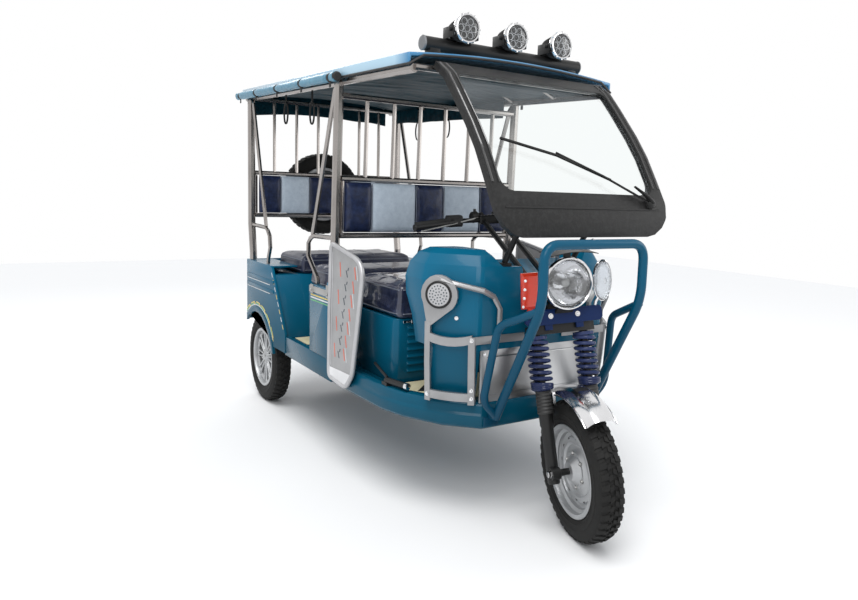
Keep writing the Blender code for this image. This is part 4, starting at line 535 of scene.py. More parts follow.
# %% Rubber and moulded trim
tyre_rubber = start("tyre_rubber", grey(0.012), 0.72, Specular_IOR_Level=0.22)
tread_dust = cloudy(tyre_rubber, spot(tyre_rubber), 26.0, 6.0, 0.7)
colour_by(tyre_rubber, blend_of(tyre_rubber, tread_dust, grey(0.008), (0.022, 0.0215, 0.020), 0.35, 0.85))
rough_by(tyre_rubber, tread_dust, 0.58, 0.86)
bump_by(tyre_rubber, cloudy(tyre_rubber, spot(tyre_rubber), 420.0, 2.0), 0.25, 0.0008)

grip_rubber = satin("grip_rubber", grey(0.022), 0.66, grain=500.0, lift=0.3)
edge_rubber = satin("edge_rubber", grey(0.020), 0.58, grain=300.0, lift=0.15)

screen_trim = start("screen_trim", grey(0.016), 0.42, Specular_IOR_Level=0.30)
grain_at = spot(screen_trim)
speck = node_of(screen_trim, "ShaderNodeTexVoronoi", Scale=420.0)
wire(screen_trim, grain_at, speck.inputs["Vector"])
worn = cloudy(screen_trim, grain_at, 60.0, 8.0, 0.8)
colour_by(screen_trim, blend_of(screen_trim, worn, grey(0.007), grey(0.032), 0.45, 0.80))
rough_by(screen_trim, worn, 0.38, 0.62)
bump_by(screen_trim, speck.outputs["Distance"], 0.55, 0.0012)

# %% [markdown]
# Lenses are clear or coloured plastic over a bright bowl. Transmission lets the bowl show, and a fine
# bump stands for the moulded prisms. The windscreen is thin float glass, which hardly bends light, so
# it mixes a clear shader with a small share of a glossy one, more of it where the glass turns away.


# %% Glass and lenses
def lens_finish(name, colour, roughness=0.06, cells=0.0, lift=0.25, weight=1.0, **fixed):
    glass = start(name, colour, roughness, 0.0, Transmission_Weight=weight, IOR=1.45, **fixed)
    if cells:
        facets = node_of(glass, "ShaderNodeTexVoronoi", Scale=cells, feature="DISTANCE_TO_EDGE")
        wire(glass, spot(glass), facets.inputs["Vector"])
        bump_by(glass, facets.outputs["Distance"], lift, 0.004)
    return glass


clear_lens = lens_finish("clear_lens", (0.97, 0.985, 1.0), 0.03, 95.0, 0.30)
small_lens = lens_finish("small_lens", (0.97, 0.985, 1.0), 0.04, 160.0, 0.35)
red_lens = lens_finish("red_lens", (0.85, 0.055, 0.020), 0.16, 180.0, 0.25, 0.35, Coat_Weight=0.6)
tail_lens = lens_finish("tail_lens", (0.60, 0.010, 0.012), 0.14, 220.0, 0.25, 0.35, Coat_Weight=0.6)

screen_glass = bpy.data.materials.new("screen_glass")
screen_glass.use_nodes = True
screen_glass.node_tree.nodes.remove(shader_of(screen_glass))
through = node_of(screen_glass, "ShaderNodeBsdfTransparent")
through.inputs["Color"].default_value = (0.97, 0.985, 0.98, 1.0)
mirror = node_of(screen_glass, "ShaderNodeBsdfGlossy", Roughness=0.02)
mirror.inputs["Color"].default_value = (0.9, 0.95, 1.0, 1.0)
smear = cloudy(screen_glass, spot(screen_glass, (1.0, 1.0, 2.5)), 5.0, 4.0)
slant = node_of(screen_glass, "ShaderNodeLayerWeight", Blend=0.12)
veil = node_of(screen_glass, "ShaderNodeMath", operation="MULTIPLY_ADD")
wire(screen_glass, smear, veil.inputs[0])
veil.inputs[1].default_value = 0.03
wire(screen_glass, spread(screen_glass, slant.outputs["Facing"], 0.01, 0.22), veil.inputs[2])
pane = node_of(screen_glass, "ShaderNodeMixShader")
wire(screen_glass, veil.outputs[0], pane.inputs["Fac"])
wire(screen_glass, through.outputs[0], pane.inputs[1])
wire(screen_glass, mirror.outputs[0], pane.inputs[2])
wire(screen_glass, pane.outputs[0], screen_glass.node_tree.nodes["Material Output"].inputs["Surface"])
print("clear finishes ready")

# %% [markdown]
# The seats wear coated cloth. Two colours alternate on the backrests: a dark navy print and a pale
# woven one. A weave is two sets of bars at right angles, so two Wave textures are multiplied. The
# seat tops still have their clear factory film, which is why they shine white in places: a full coat
# over a bump of long soft wrinkles.


# %% Coated cloths
WAVE_PITCH = 0.314            # a Wave texture of scale 1 repeats every 0.314 m
THREAD = 0.0022


def coated_cloth(name, dark, light, shine=0.3, wrinkle=0.25, low=0.35, high=0.75, gleam=0.5):
    cloth = start(name, light, 0.48, 0.0, Coat_Weight=shine, Coat_Roughness=0.10, Specular_IOR_Level=gleam)
    where = spot(cloth)
    across = node_of(cloth, "ShaderNodeTexWave", bands_direction="X", Scale=WAVE_PITCH / THREAD)
    upward = node_of(cloth, "ShaderNodeTexWave", bands_direction="Z", Scale=WAVE_PITCH / THREAD)
    for wave in (across, upward):
        wire(cloth, where, wave.inputs["Vector"])
    weave = node_of(cloth, "ShaderNodeMath", operation="MULTIPLY")
    wire(cloth, across.outputs["Fac"], weave.inputs[0])
    wire(cloth, upward.outputs["Fac"], weave.inputs[1])
    mottle = cloudy(cloth, where, 38.0, 6.0, 0.75)
    mixed = node_of(cloth, "ShaderNodeMath", operation="MULTIPLY_ADD")
    mixed.inputs[1].default_value = 0.30
    wire(cloth, weave.outputs[0], mixed.inputs[0])
    wire(cloth, mottle, mixed.inputs[2])
    colour_by(cloth, blend_of(cloth, mixed.outputs[0], dark, light, low, high))
    rough_by(cloth, mottle, 0.36, 0.60)
    bump_by(cloth, weave.outputs[0], 0.22, 0.0006)
    bump_by(cloth, cloudy(cloth, spot(cloth, (1.0, 2.2, 1.4)), 7.5, 4.0, 0.5), wrinkle, 0.012)
    return cloth


navy_print = coated_cloth("navy_print", (0.003, 0.007, 0.028), (0.022, 0.042, 0.125), low=0.45, high=0.95,
    gleam=0.25)
pale_weave = coated_cloth("pale_weave", (0.38, 0.46, 0.55), (0.60, 0.68, 0.76), low=0.30, high=0.90,
    shine=0.15)
seat_film = coated_cloth("seat_film", (0.003, 0.006, 0.026), (0.040, 0.055, 0.120), wrinkle=0.8, low=0.55,
    high=0.95, shine=1.0)
bench_film = coated_cloth("bench_film", (0.003, 0.006, 0.026), (0.022, 0.035, 0.090), wrinkle=0.6, low=0.50,
    high=0.95, shine=0.35)
piping = satin("piping", (0.16, 0.18, 0.23), 0.40, 0.2)
led_lens = lens_finish("led_lens", (0.97, 0.985, 1.0), 0.03)
webbing = satin("webbing", grey(0.014), 0.70, grain=700.0, lift=0.4)

curtain_cloth = coated_cloth("curtain_cloth", (0.020, 0.130, 0.220), (0.070, 0.260, 0.380), wrinkle=0.7,
    low=0.2)
lining_cloth = coated_cloth("lining_cloth", (0.0008, 0.012, 0.020), (0.003, 0.048, 0.070), wrinkle=0.9,
    low=0.42, high=0.95, shine=0.02, gleam=0.06)

# %% [markdown]
# The floor mats are cream ribbed rubber. A wave on Object coordinates gives the ribs their pitch of
# eight millimetres, and a wide soft noise soils them a little where feet go.

# %% Mats, marks and the floor
mat_rubber = start("mat_rubber", (0.62, 0.56, 0.36), 0.68)
soil = cloudy(mat_rubber, spot(mat_rubber), 7.0, 6.0, 0.65)
colour_by(mat_rubber, blend_of(mat_rubber, soil, (0.48, 0.43, 0.27), (0.68, 0.62, 0.41), 0.25, 0.70))
ribs = node_of(mat_rubber, "ShaderNodeTexWave", bands_direction="X", Scale=WAVE_PITCH / 0.008)
wire(mat_rubber, spot(mat_rubber), ribs.inputs["Vector"])
bump_by(mat_rubber, ribs.outputs["Fac"], 0.5, 0.0015)


def mark_finish(name, colour):
    return satin(name, colour, 0.34, grain=400.0, lift=0.03, Coat_Weight=0.4)


yellow_mark = mark_finish("yellow_mark", (0.75, 0.55, 0.05))
green_mark = mark_finish("green_mark", (0.03, 0.36, 0.10))
white_mark = mark_finish("white_mark", (0.72, 0.76, 0.78))
red_mark = mark_finish("red_mark", (0.72, 0.09, 0.02))
# The dark print of the side guards' strokes. The same finish also makes the horn grille's holes, where it is
# painted shade.
dark_print_and_hole_shade = mark_finish("dark_print_and_hole_shade", (0.012, 0.030, 0.045))

floor_finish = start("floor_finish", grey(0.86), 0.80, Specular_IOR_Level=0.10)
rough_by(floor_finish, cloudy(floor_finish, spot(floor_finish), 2.0), 0.76, 0.84)
floor.data.materials.append(floor_finish)

# %% [markdown]
# The CAD nodes whose shape is right stay on show and only take a finish. The table names them by
# finish. Every other node is replaced further down by a piece with more detail.

# %% Finishes of the CAD nodes
CAD_FINISHES = {
    black_satin: ("chassis_frame", "rear_axle", "leaf_spring_right", "leaf_spring_left", "battery_pack",
                  "handlebar", "wiper", "brake_pedal"),
    grip_rubber: ("grip_right", "grip_left"),
    post_steel: ("canopy_frame", "middle_grille", "rear_grille"),
    screen_glass: ("windscreen",),
}
for finish, names in CAD_FINISHES.items():
    for name in names:
        slots = nodes[name].data.materials
        slots.clear()
        slots.append(finish)
print(sum(len(names) for names in CAD_FINISHES.values()), "nodes finished")

# %% [markdown]
# A tyre is a body of revolution with a tread cut into it. Cutting every groove by hand would be slow,
# so the casing is one turned section and the tread is a block that Geometry Nodes sets round it. Each
# tyre gets four rows of blocks: two shoulders with a slanted edge and a zigzag pair in the middle.


# %% Tyre casing
def tyre_casing():
    """Half section from the bead out, with the raised rings of a sidewall, mirrored and turned."""
    half_bead = RIM_HALF_W - 0.0057
    half = [(half_bead - 0.012, BEAD_R - 0.001), (half_bead, BEAD_R), (half_bead, FLANGE_R + 0.001),
            (TYRE_HALF_W - 0.0060, FLANGE_R + 0.007), (TYRE_HALF_W - 0.0030, FLANGE_R + 0.014),
            (TYRE_HALF_W - 0.0010, FLANGE_R + 0.015), (TYRE_HALF_W - 0.0008, FLANGE_R + 0.018),
            (TYRE_HALF_W - 0.0016, FLANGE_R + 0.019), (TYRE_HALF_W - 0.0010, FLANGE_R + 0.034),
            (TYRE_HALF_W - 0.0004, FLANGE_R + 0.035), (TYRE_HALF_W - 0.0006, FLANGE_R + 0.038),
            (TYRE_HALF_W - 0.0020, FLANGE_R + 0.039), (TYRE_HALF_W - 0.0042, FLANGE_R + 0.058),
            (TYRE_HALF_W - 0.0090, TYRE_R - 0.0145), (TYRE_HALF_W - 0.0150, TYRE_R - 0.0090),
            (TYRE_HALF_W - 0.0250, TYRE_R - 0.0068)]
    section = half + [(0.0, TYRE_R - 0.0060)] + [(-t, r) for t, r in reversed(half)]
    return turned(section, 96, ring=True)


# %% [markdown]
# The block that repeats is a short wedge with a bevelled edge. The node tree takes a wedge, a count and
# a radius, sets the wedge on a mesh circle, and turns each copy to face outwards. Realize Instances
# makes it plain geometry, so the tree can be read once and dropped.


# %% Geometry Nodes ring
def ring_tree(name, finish):
    """A node group: copies of an object round a circle in the YZ plane, turned with it."""
    group = bpy.data.node_groups.new(name, "GeometryNodeTree")
    for title, kind in (("Block", "Object"), ("Count", "Int"), ("Radius", "Float"), ("Across", "Float"),
            ("Start", "Float")):
        group.interface.new_socket(title, in_out="INPUT", socket_type=f"NodeSocket{kind}")
    group.interface.new_socket("Geometry", in_out="OUTPUT", socket_type="NodeSocketGeometry")
    make = group.nodes.new
    join = group.links.new
    given, result = make("NodeGroupInput"), make("NodeGroupOutput")
    line = make("GeometryNodeMeshLine")
    join(given.outputs["Count"], line.inputs["Count"])
    index = make("GeometryNodeInputIndex")
    share = make("ShaderNodeMath")
    share.operation = "DIVIDE"
    join(index.outputs[0], share.inputs[0])
    join(given.outputs["Count"], share.inputs[1])
    angle = make("ShaderNodeMath")
    angle.operation = "MULTIPLY_ADD"
    angle.inputs[1].default_value = math.tau
    join(share.outputs[0], angle.inputs[0])
    join(given.outputs["Start"], angle.inputs[2])
    sine, cosine = make("ShaderNodeMath"), make("ShaderNodeMath")
    sine.operation, cosine.operation = "SINE", "COSINE"
    out_y, out_z = make("ShaderNodeMath"), make("ShaderNodeMath")
    for wave, reach in ((sine, out_y), (cosine, out_z)):
        join(angle.outputs[0], wave.inputs[0])
        reach.operation = "MULTIPLY"
        join(wave.outputs[0], reach.inputs[0])
        join(given.outputs["Radius"], reach.inputs[1])
    spot_at = make("ShaderNodeCombineXYZ")
    join(given.outputs["Across"], spot_at.inputs["X"])
    join(out_y.outputs[0], spot_at.inputs["Y"])
    join(out_z.outputs[0], spot_at.inputs["Z"])
    put = make("GeometryNodeSetPosition")
    join(line.outputs[0], put.inputs["Geometry"])
    join(spot_at.outputs[0], put.inputs["Position"])
    back = make("ShaderNodeMath")
    back.operation = "MULTIPLY"
    back.inputs[1].default_value = -1.0
    join(angle.outputs[0], back.inputs[0])
    facing = make("ShaderNodeCombineXYZ")
    join(back.outputs[0], facing.inputs["X"])
    source = make("GeometryNodeObjectInfo")
    join(given.outputs["Block"], source.inputs["Object"])
    spread_out = make("GeometryNodeInstanceOnPoints")
    join(put.outputs[0], spread_out.inputs["Points"])
    join(source.outputs["Geometry"], spread_out.inputs["Instance"])
    join(facing.outputs[0], spread_out.inputs["Rotation"])
    real = make("GeometryNodeRealizeInstances")
    join(spread_out.outputs[0], real.inputs[0])
    painted = make("GeometryNodeSetMaterial")
    painted.inputs["Material"].default_value = finish
    join(real.outputs[0], painted.inputs["Geometry"])
    join(painted.outputs[0], result.inputs[0])
    return group


def repeated(tree, **sizes):
    """Runs a node group on an empty mesh and returns the plain mesh it makes."""
    carrier = bpy.data.objects.new("carrier", bpy.data.meshes.new("carrier"))
    bpy.context.scene.collection.objects.link(carrier)
    modifier = carrier.modifiers.new("ring", "NODES")
    modifier.node_group = tree
    for item in tree.interface.items_tree:
        if item.item_type == "SOCKET" and item.in_out == "INPUT" and item.name in sizes:
            modifier[item.identifier] = sizes[item.name]
    graph = bpy.context.evaluated_depsgraph_get()
    mesh = bpy.data.meshes.new_from_object(carrier.evaluated_get(graph))
    bpy.data.objects.remove(carrier)
    return mesh


def as_object(name, bm):
    """A scratch object that a tree copies from; it is removed again afterwards."""
    mesh = bpy.data.meshes.new(name)
    bm.to_mesh(mesh)
    bm.free()
    obj = bpy.data.objects.new(name, mesh)
    bpy.context.scene.collection.objects.link(obj)
    return obj


def shape_of(mesh):
    bm = bmesh.new()
    bm.from_mesh(mesh)
    bpy.data.meshes.remove(mesh)
    return bm


TREAD_COUNT = 44
tread_tree = ring_tree("tread_ring", tyre_rubber)


def tread_block(plan, depth=0.0062, curve=0.0):
    """A tread block from its (across, along) plan, standing on the casing at the top of the tyre."""
    low = [Vector((x, y, -depth - curve * abs(x))) for x, y in plan]
    high = [Vector((x * 0.97, y * 0.90, -curve * abs(x))) for x, y in plan]
    return loft([low, high])


pitch = math.tau * (TYRE_R - 0.001) / TREAD_COUNT
TREAD_ROWS = (                # name, plan as (across, along) shares of the pitch, start round the tyre
    ("shoulder_right", ((-0.0405, -0.36), (-0.0180, -0.24), (-0.0165, 0.40), (-0.0395, 0.22)), 0.10, 0.34),
    ("middle_right", ((-0.0155, -0.40), (-0.0015, -0.16), (-0.0030, 0.34), (-0.0165, 0.14)), 0.0, 0.05),
    ("middle_left", ((0.0015, -0.16), (0.0155, -0.40), (0.0165, 0.14), (0.0030, 0.34)), 0.5, 0.05),
    ("shoulder_left", ((0.0180, -0.24), (0.0405, -0.36), (0.0395, 0.22), (0.0165, 0.40)), 0.60, 0.34),
)


def tread():
    shapes = []
    for name, plan, start_share, curve in TREAD_ROWS:
        outline = [(x, y * pitch) for x, y in plan]
        block_obj = as_object(name, tread_block(outline, 0.0075, curve))
        lift = 0.0068 if "shoulder" in name else 0.0
        made = repeated(tread_tree, Block=block_obj, Count=TREAD_COUNT, Radius=TYRE_R - 0.0008 + lift,
            Across=0.0, Start=math.tau / TREAD_COUNT * start_share)
        shapes.append(shape_of(made))
        bpy.data.objects.remove(block_obj)
    return shapes


WHEELS = (                    # body, tyre node, rim node, hub, outer side, matrix of the wheel
    ("front_wheel", "front_tyre", "front_rim", STRAIGHT_HUB, -1, STEERED),
    ("rear_right_wheel", "rear_right_tyre", "rear_right_rim",
     place(-HALF_TRACK, REAR_AXLE, TYRE_R), -1, Matrix()),
    ("rear_left_wheel", "rear_left_tyre", "rear_left_rim",
     place(HALF_TRACK, REAR_AXLE, TYRE_R), 1, Matrix()),
)
for body, tyre, rim, hub, outer, turn in WHEELS:
    seat = turn @ Matrix.Translation(hub)
    shapes = [moved(bm, seat) for bm in [tyre_casing(), *tread()]]
    made = piece(f"{body}_tyre", body, tyre_rubber, shapes, (tyre,))
    print(made.name, faces_of(made), "triangles")

# %% [markdown]
# The rims. At the front, a pressed steel disc on a rolled channel, with a ring of round holes, a raised
# hub and its nuts. At the rear, cast wheels with pairs of slim spokes round a hub cap. Both are turned
# sections at a fine step, and a ring of bolts comes from the same node group as the tread.


# %% Rims
def channel_section():
    """The rolled channel, outer side then inner side, with rounded flanges."""
    lip = RIM_HALF_W
    outer = [(-lip, FLANGE_R - 0.002), (-lip + 0.0015, FLANGE_R), (-lip + 0.004, FLANGE_R),
        (-lip + 0.005, FLANGE_R - 0.003), (-lip + 0.005, BEAD_R + 0.001), (-lip + 0.007, BEAD_R - 0.001),
        (-0.020, BEAD_R - 0.002), (-0.014, BEAD_R - 0.012)]
    inner = [(-lip + 0.001, FLANGE_R - 0.006), (-lip + 0.001, BEAD_R - 0.006),
        (-lip + 0.006, BEAD_R - 0.008), (-0.024, BEAD_R - 0.009), (-0.017, BEAD_R - 0.020)]
    mirror = [(-t, r) for t, r in reversed(outer)]
    inner_mirror = [(-t, r) for t, r in inner]
    return outer + mirror + inner_mirror + list(reversed(inner))


def bolt_head(radius=0.006, height=0.005, washer=0.0):
    """A hexagon head with a bevelled top, standing on z = 0."""
    shapes = turned([(0.0, 0.0), (0.0, radius), (height * 0.75, radius), (height, radius * 0.84),
        (height, 0.0)], 6, axis=(0, 0, 1))
    if washer:
        other = bpy.data.meshes.new("washer")
        ring_bm = turned([(0.0, 0.0), (0.0, washer), (0.0012, washer), (0.0012, 0.0)], 20, axis=(0, 0, 1))
        ring_bm.to_mesh(other)
        ring_bm.free()
        shapes.from_mesh(other)
        bpy.data.meshes.remove(other)
    return shapes


def ring_of(bm_source, count, radius, across, start_at=0.0, upright=None):
    """Copies of a shape on a circle about X. upright turns the copy first."""
    source_obj = as_object("ring_source", moved(bm_source, upright) if upright else bm_source)
    made = repeated(tread_tree, Block=source_obj, Count=count, Radius=radius, Across=across, Start=start_at)
    bpy.data.objects.remove(source_obj)
    return shape_of(made)


def facing_x(sign):
    return Matrix.Rotation(math.radians(90.0 * sign), 4, "Y")


def front_rim():
    disc = [(-0.016, 0.1340), (-0.005, 0.1300), (-0.0020, 0.118), (-0.0105, 0.112), (-0.0115, 0.096),
        (-0.006, 0.088), (-0.012, 0.070), (-0.017, 0.064), (-0.0175, 0.054), (-0.022, 0.050),
        (-0.0400, 0.032), (-0.0400, 0.0), (0.030, 0.0), (0.036, 0.052), (0.034, 0.060), (0.004, 0.084),
        (0.002, 0.120), (0.010, 0.1340)]
    return [turned(channel_section(), 96, ring=True), turned(disc, 72)]


def front_rim_hole_shade():
    """Round holes of the disc, as shallow dark cups whose black is painted shade, and the ring round the hub.
    """
    cup = turned([(0.0, 0.0), (0.0, 0.0088), (-0.0012, 0.0098), (-0.0024, 0.0098), (-0.0024, 0.0)], 20,
        axis=(-1, 0, 0))
    return [ring_of(cup, 12, 0.1040, -0.0108)]


def rear_rim(out_side):
    """Channel, hub, and eight pairs of spokes that taper outwards and lean out at the rim."""
    hub_profile = [(0.036, 0.0), (0.0365, 0.014), (0.034, 0.022), (0.031, 0.033), (0.024, 0.041),
        (0.006, 0.046), (0.004, 0.030), (0.004, 0.0)]
    shapes = [turned(channel_section(), 96, ring=True),
        turned([(t * out_side, r) for t, r in hub_profile], 48)]
    for lean in (-1, 1):
        rings = []
        for r, side_at, half_w, mid_x, half_t in ((0.036, 0.0085, 0.0055, 0.016, 0.009),
                (0.080, 0.0115, 0.0048, 0.019, 0.0065), (0.118, 0.0150, 0.0052, 0.020, 0.0065),
                (0.138, 0.0205, 0.0080, 0.018, 0.010)):
            rings.append([Vector((out_side * (mid_x + a * half_t), lean * side_at + b * half_w, r))
                for a, b in ((-1, -0.8), (-1, 0.8), (0.4, 1.0), (1.0, 0.45), (1.0, -0.45), (0.4, -1.0))])
        shapes.append(ring_of(loft(rings), 8, 0.0, 0.0))
    return shapes


def rear_drum(out_side):
    drum = [(-0.058, 0.0), (-0.058, 0.084), (-0.054, 0.088), (-0.030, 0.088), (-0.026, 0.082),
        (-0.012, 0.050), (0.0035, 0.044), (0.0035, 0.0)]
    return [turned([(t * out_side, r) for t, r in drum], 64)]


for body, tyre, rim, hub, outer, turn in WHEELS:
    seat = turn @ Matrix.Translation(hub)
    if body == "front_wheel":
        made = piece("front_rim_disc", body, wheel_silver, [moved(s, seat) for s in front_rim()], (rim,))
        # The disc's holes are dark cups, not openings: their black is painted shade.
        piece("front_rim_holes", body, hub_black_and_hole_shade, [moved(s, seat) for s in front_rim_hole_shade()])
        for sign, across, where in ((-1, -0.0170, 0.059), (1, 0.0345, 0.060)):
            bolts = ring_of(bolt_head(0.0058, 0.0055, 0.0080), 6, where, across, 0.2, facing_x(sign))
            piece(f"front_hub_nuts_{'right' if sign < 0 else 'left'}", body, dull_zinc, [moved(bolts, seat)])
    else:
        made = piece(f"{body}_rim", body, wheel_silver, [moved(s, seat) for s in rear_rim(outer)], (rim,))
        piece(f"{body}_drum", body, hub_black_and_hole_shade, [moved(s, seat) for s in rear_drum(outer)])
        bolts = ring_of(bolt_head(0.0048, 0.0045, 0.0066), 4, 0.0225, 0.0335 * outer, 0.4, facing_x(outer))
        piece(f"{body}_nuts", body, dull_zinc, [moved(bolts, seat)])
    print(made.name, faces_of(made), "triangles")

# %% [markdown]
# The spare wheel hangs on the tail grille with its tyre, a plain rim and one large nut.

# %% Spare wheel
SPARE = place(0.0, 1.362, 1.158)
spare_turn = Matrix.Translation(SPARE) @ Matrix.Rotation(math.radians(90.0), 4, "Z")
spare = piece("spare_tyre", "chassis", tyre_rubber,
    [moved(s, spare_turn) for s in [tyre_casing(), *tread()]], ("spare_wheel",))
spare_disc = [(0.010, 0.1340), (0.004, 0.128), (0.005, 0.112), (0.009, 0.100), (0.009, 0.070),
    (0.005, 0.060), (0.0053, 0.0), (-0.0050, 0.0), (-0.0050, 0.060), (0.004, 0.070), (0.004, 0.100),
    (-0.001, 0.112), (-0.001, 0.128), (0.002, 0.1340)]
piece("spare_rim", "chassis", wheel_silver, [moved(turned(channel_section(), 96, ring=True), spare_turn),
    moved(turned(spare_disc, 72), spare_turn)])
spare_nuts = ring_of(bolt_head(0.0065, 0.007, 0.010), 4, 0.030, 0.0053, 0.3, facing_x(1))
big_nut = turned([(0.0, 0.0), (0.0, 0.020), (0.010, 0.020), (0.013, 0.017), (0.013, 0.0)], 6, (0.005, 0, 0))
piece("spare_nuts", "chassis", dull_zinc, [moved(spare_nuts, spare_turn), moved(big_nut, spare_turn)])
print("spare", faces_of(spare), "triangles")

# %% [markdown]
# Pressed and moulded panels have small rounded edges that catch a line of light, and a CAD solid's
# edges are sharp. Each panel here is a merged copy of its CAD solid with a Bevel modifier on its
# sharp edges, so the form stays the CAD's own and only the edges turn softer.


# %% Softened panels
def softened(node, finish, width=0.0035, segments=2, angle=28.0):
    """A copy of a CAD solid with rounded edges, standing for it."""
    bm = bmesh.new()
    bm.from_mesh(nodes[node].data)
    bmesh.ops.remove_doubles(bm, verts=bm.verts, dist=0.00002)
    bmesh.ops.dissolve_limit(bm, angle_limit=math.radians(1.0), verts=bm.verts, edges=bm.edges)
    body = nodes[node]["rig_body"]
    obj = piece(f"{node}_panel", body, finish, [bm], (node,), sharp=angle)
    bevel = obj.modifiers.new("edges", "BEVEL")
    bevel.width = width
    bevel.segments = segments
    bevel.limit_method = "ANGLE"
    bevel.angle_limit = math.radians(angle)
    bevel.use_clamp_overlap = True
    graph = bpy.context.evaluated_depsgraph_get()
    rounded = bpy.data.meshes.new_from_object(obj.evaluated_get(graph))
    rounded.shade_smooth()
    rounded.set_sharp_from_angle(angle=math.radians(40.0))
    obj.modifiers.clear()
    obj.data = rounded
    return obj


SOFT_PANELS = (               # nodes, finish, width of their rounded edges and its steps
    (("front_cowl",), body_paint, 0.0160, 4),
    (("floor_deck",), body_paint, 0.0040, 2),
    (("passenger_floor",), body_paint, 0.0025, 2),
    (("rear_fender_right", "rear_fender_left"), body_paint, 0.0030, 2),
    (("side_panel_right", "side_panel_left"), body_paint, 0.0035, 2),
    (("rear_panel",), body_paint, 0.0025, 2),
    (("driver_seat_base",), body_paint, 0.0018, 2),
    (("front_bench_base", "rear_bench_base"), body_paint, 0.0030, 2),
    (("yoke_plate",), navy_paint, 0.0020, 2),
    (("front_panel",), brushed_steel, 0.0020, 2),
    (("windscreen_frame",), screen_trim, 0.0050, 3),
    (("indicator",), red_lens, 0.0040, 3),
    (("cowl_guard_right", "cowl_guard_left"), guard_silver, 0.0050, 3),
    (("tail_lamp_right", "tail_lamp_left"), tail_lens, 0.0020, 2),
)
SHALLOW_BEND = {"front_cowl": 11.0}     # the cowl's wide facets meet at small angles, and are pressed round
for names, finish, width, segments in SOFT_PANELS:
    for name in names:
        made = softened(name, finish, width, segments, SHALLOW_BEND.get(name, 28.0))
        print(made.name, faces_of(made))

# %% [markdown]
# The bumper is bent from round tube: one hoop down to the deck's front, and a thinner side bar at each
# side. The bends are drawn out with enough steps to look round close up.

# %% Tube bumper
HOOP_X, HOOP_Y, HOOP_TOP, HOOP_R = 0.228, -1.026, 1.031, 0.0167
FACE_Y, FOOT_Z = -0.7723, 0.402
hoop = [(-HOOP_X, FACE_Y - 0.030, FOOT_Z), (-HOOP_X, HOOP_Y, 0.830), (-HOOP_X, HOOP_Y, HOOP_TOP),
    (HOOP_X, HOOP_Y, HOOP_TOP), (HOOP_X, HOOP_Y, 0.830), (HOOP_X, FACE_Y - 0.030, FOOT_Z)]
bumper_bars = [tube(smooth_path([place(*p) for p in hoop], 0.062, 10), HOOP_R, 20)]
for side in (-1, 1):
    x = side * HOOP_X
    side_bar = [(x, HOOP_Y + 0.004, 0.818), (side * 0.268, -0.852, 0.742), (side * 0.292, -0.812, 0.470),
        (x, FACE_Y - 0.032, FOOT_Z + 0.004)]
    bumper_bars.append(tube(smooth_path([place(*p) for p in side_bar], 0.035, 8), 0.0142, 16))
    bumper_bars.append(tube([place(x, FACE_Y - 0.032, FOOT_Z), place(x, FACE_Y - 0.002, FOOT_Z)], 0.0155, 16))
    bumper_bars.append(block_at((x - 0.032, x + 0.032), (FACE_Y - 0.006, FACE_Y), (0.364, 0.399), 0.0015))
bumper_obj = piece("bumper_tubes", nodes["bumper"]["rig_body"], bumper_paint, bumper_bars, ("bumper",))
print("bumper", faces_of(bumper_obj), "triangles")

# %% [markdown]
# The front fork has two telescopic legs. A black sliding leg carries the axle, a rubber boot keeps
# dirt off its seal, and a navy coil spring sits between two cups above it. The spring is a helix: a
# point that goes round while it climbs, swept with a round section.

# %% Fork legs and crowns
AXLE = STRAIGHT_HUB
LEAD = (AXLE - AXIS_FOOT).dot(ACROSS) - LEG_AHEAD
AXLE_ON_AXIS = (AXLE - AXIS_FOOT).dot(AXIS) * AXIS.z


def crown(low, high, outline):
    ring = list(outline) + [(-x, a) for x, a in reversed(outline)]
    return loft([[on_axis(z, a, x) for x, a in ring] for z in (low, high)])


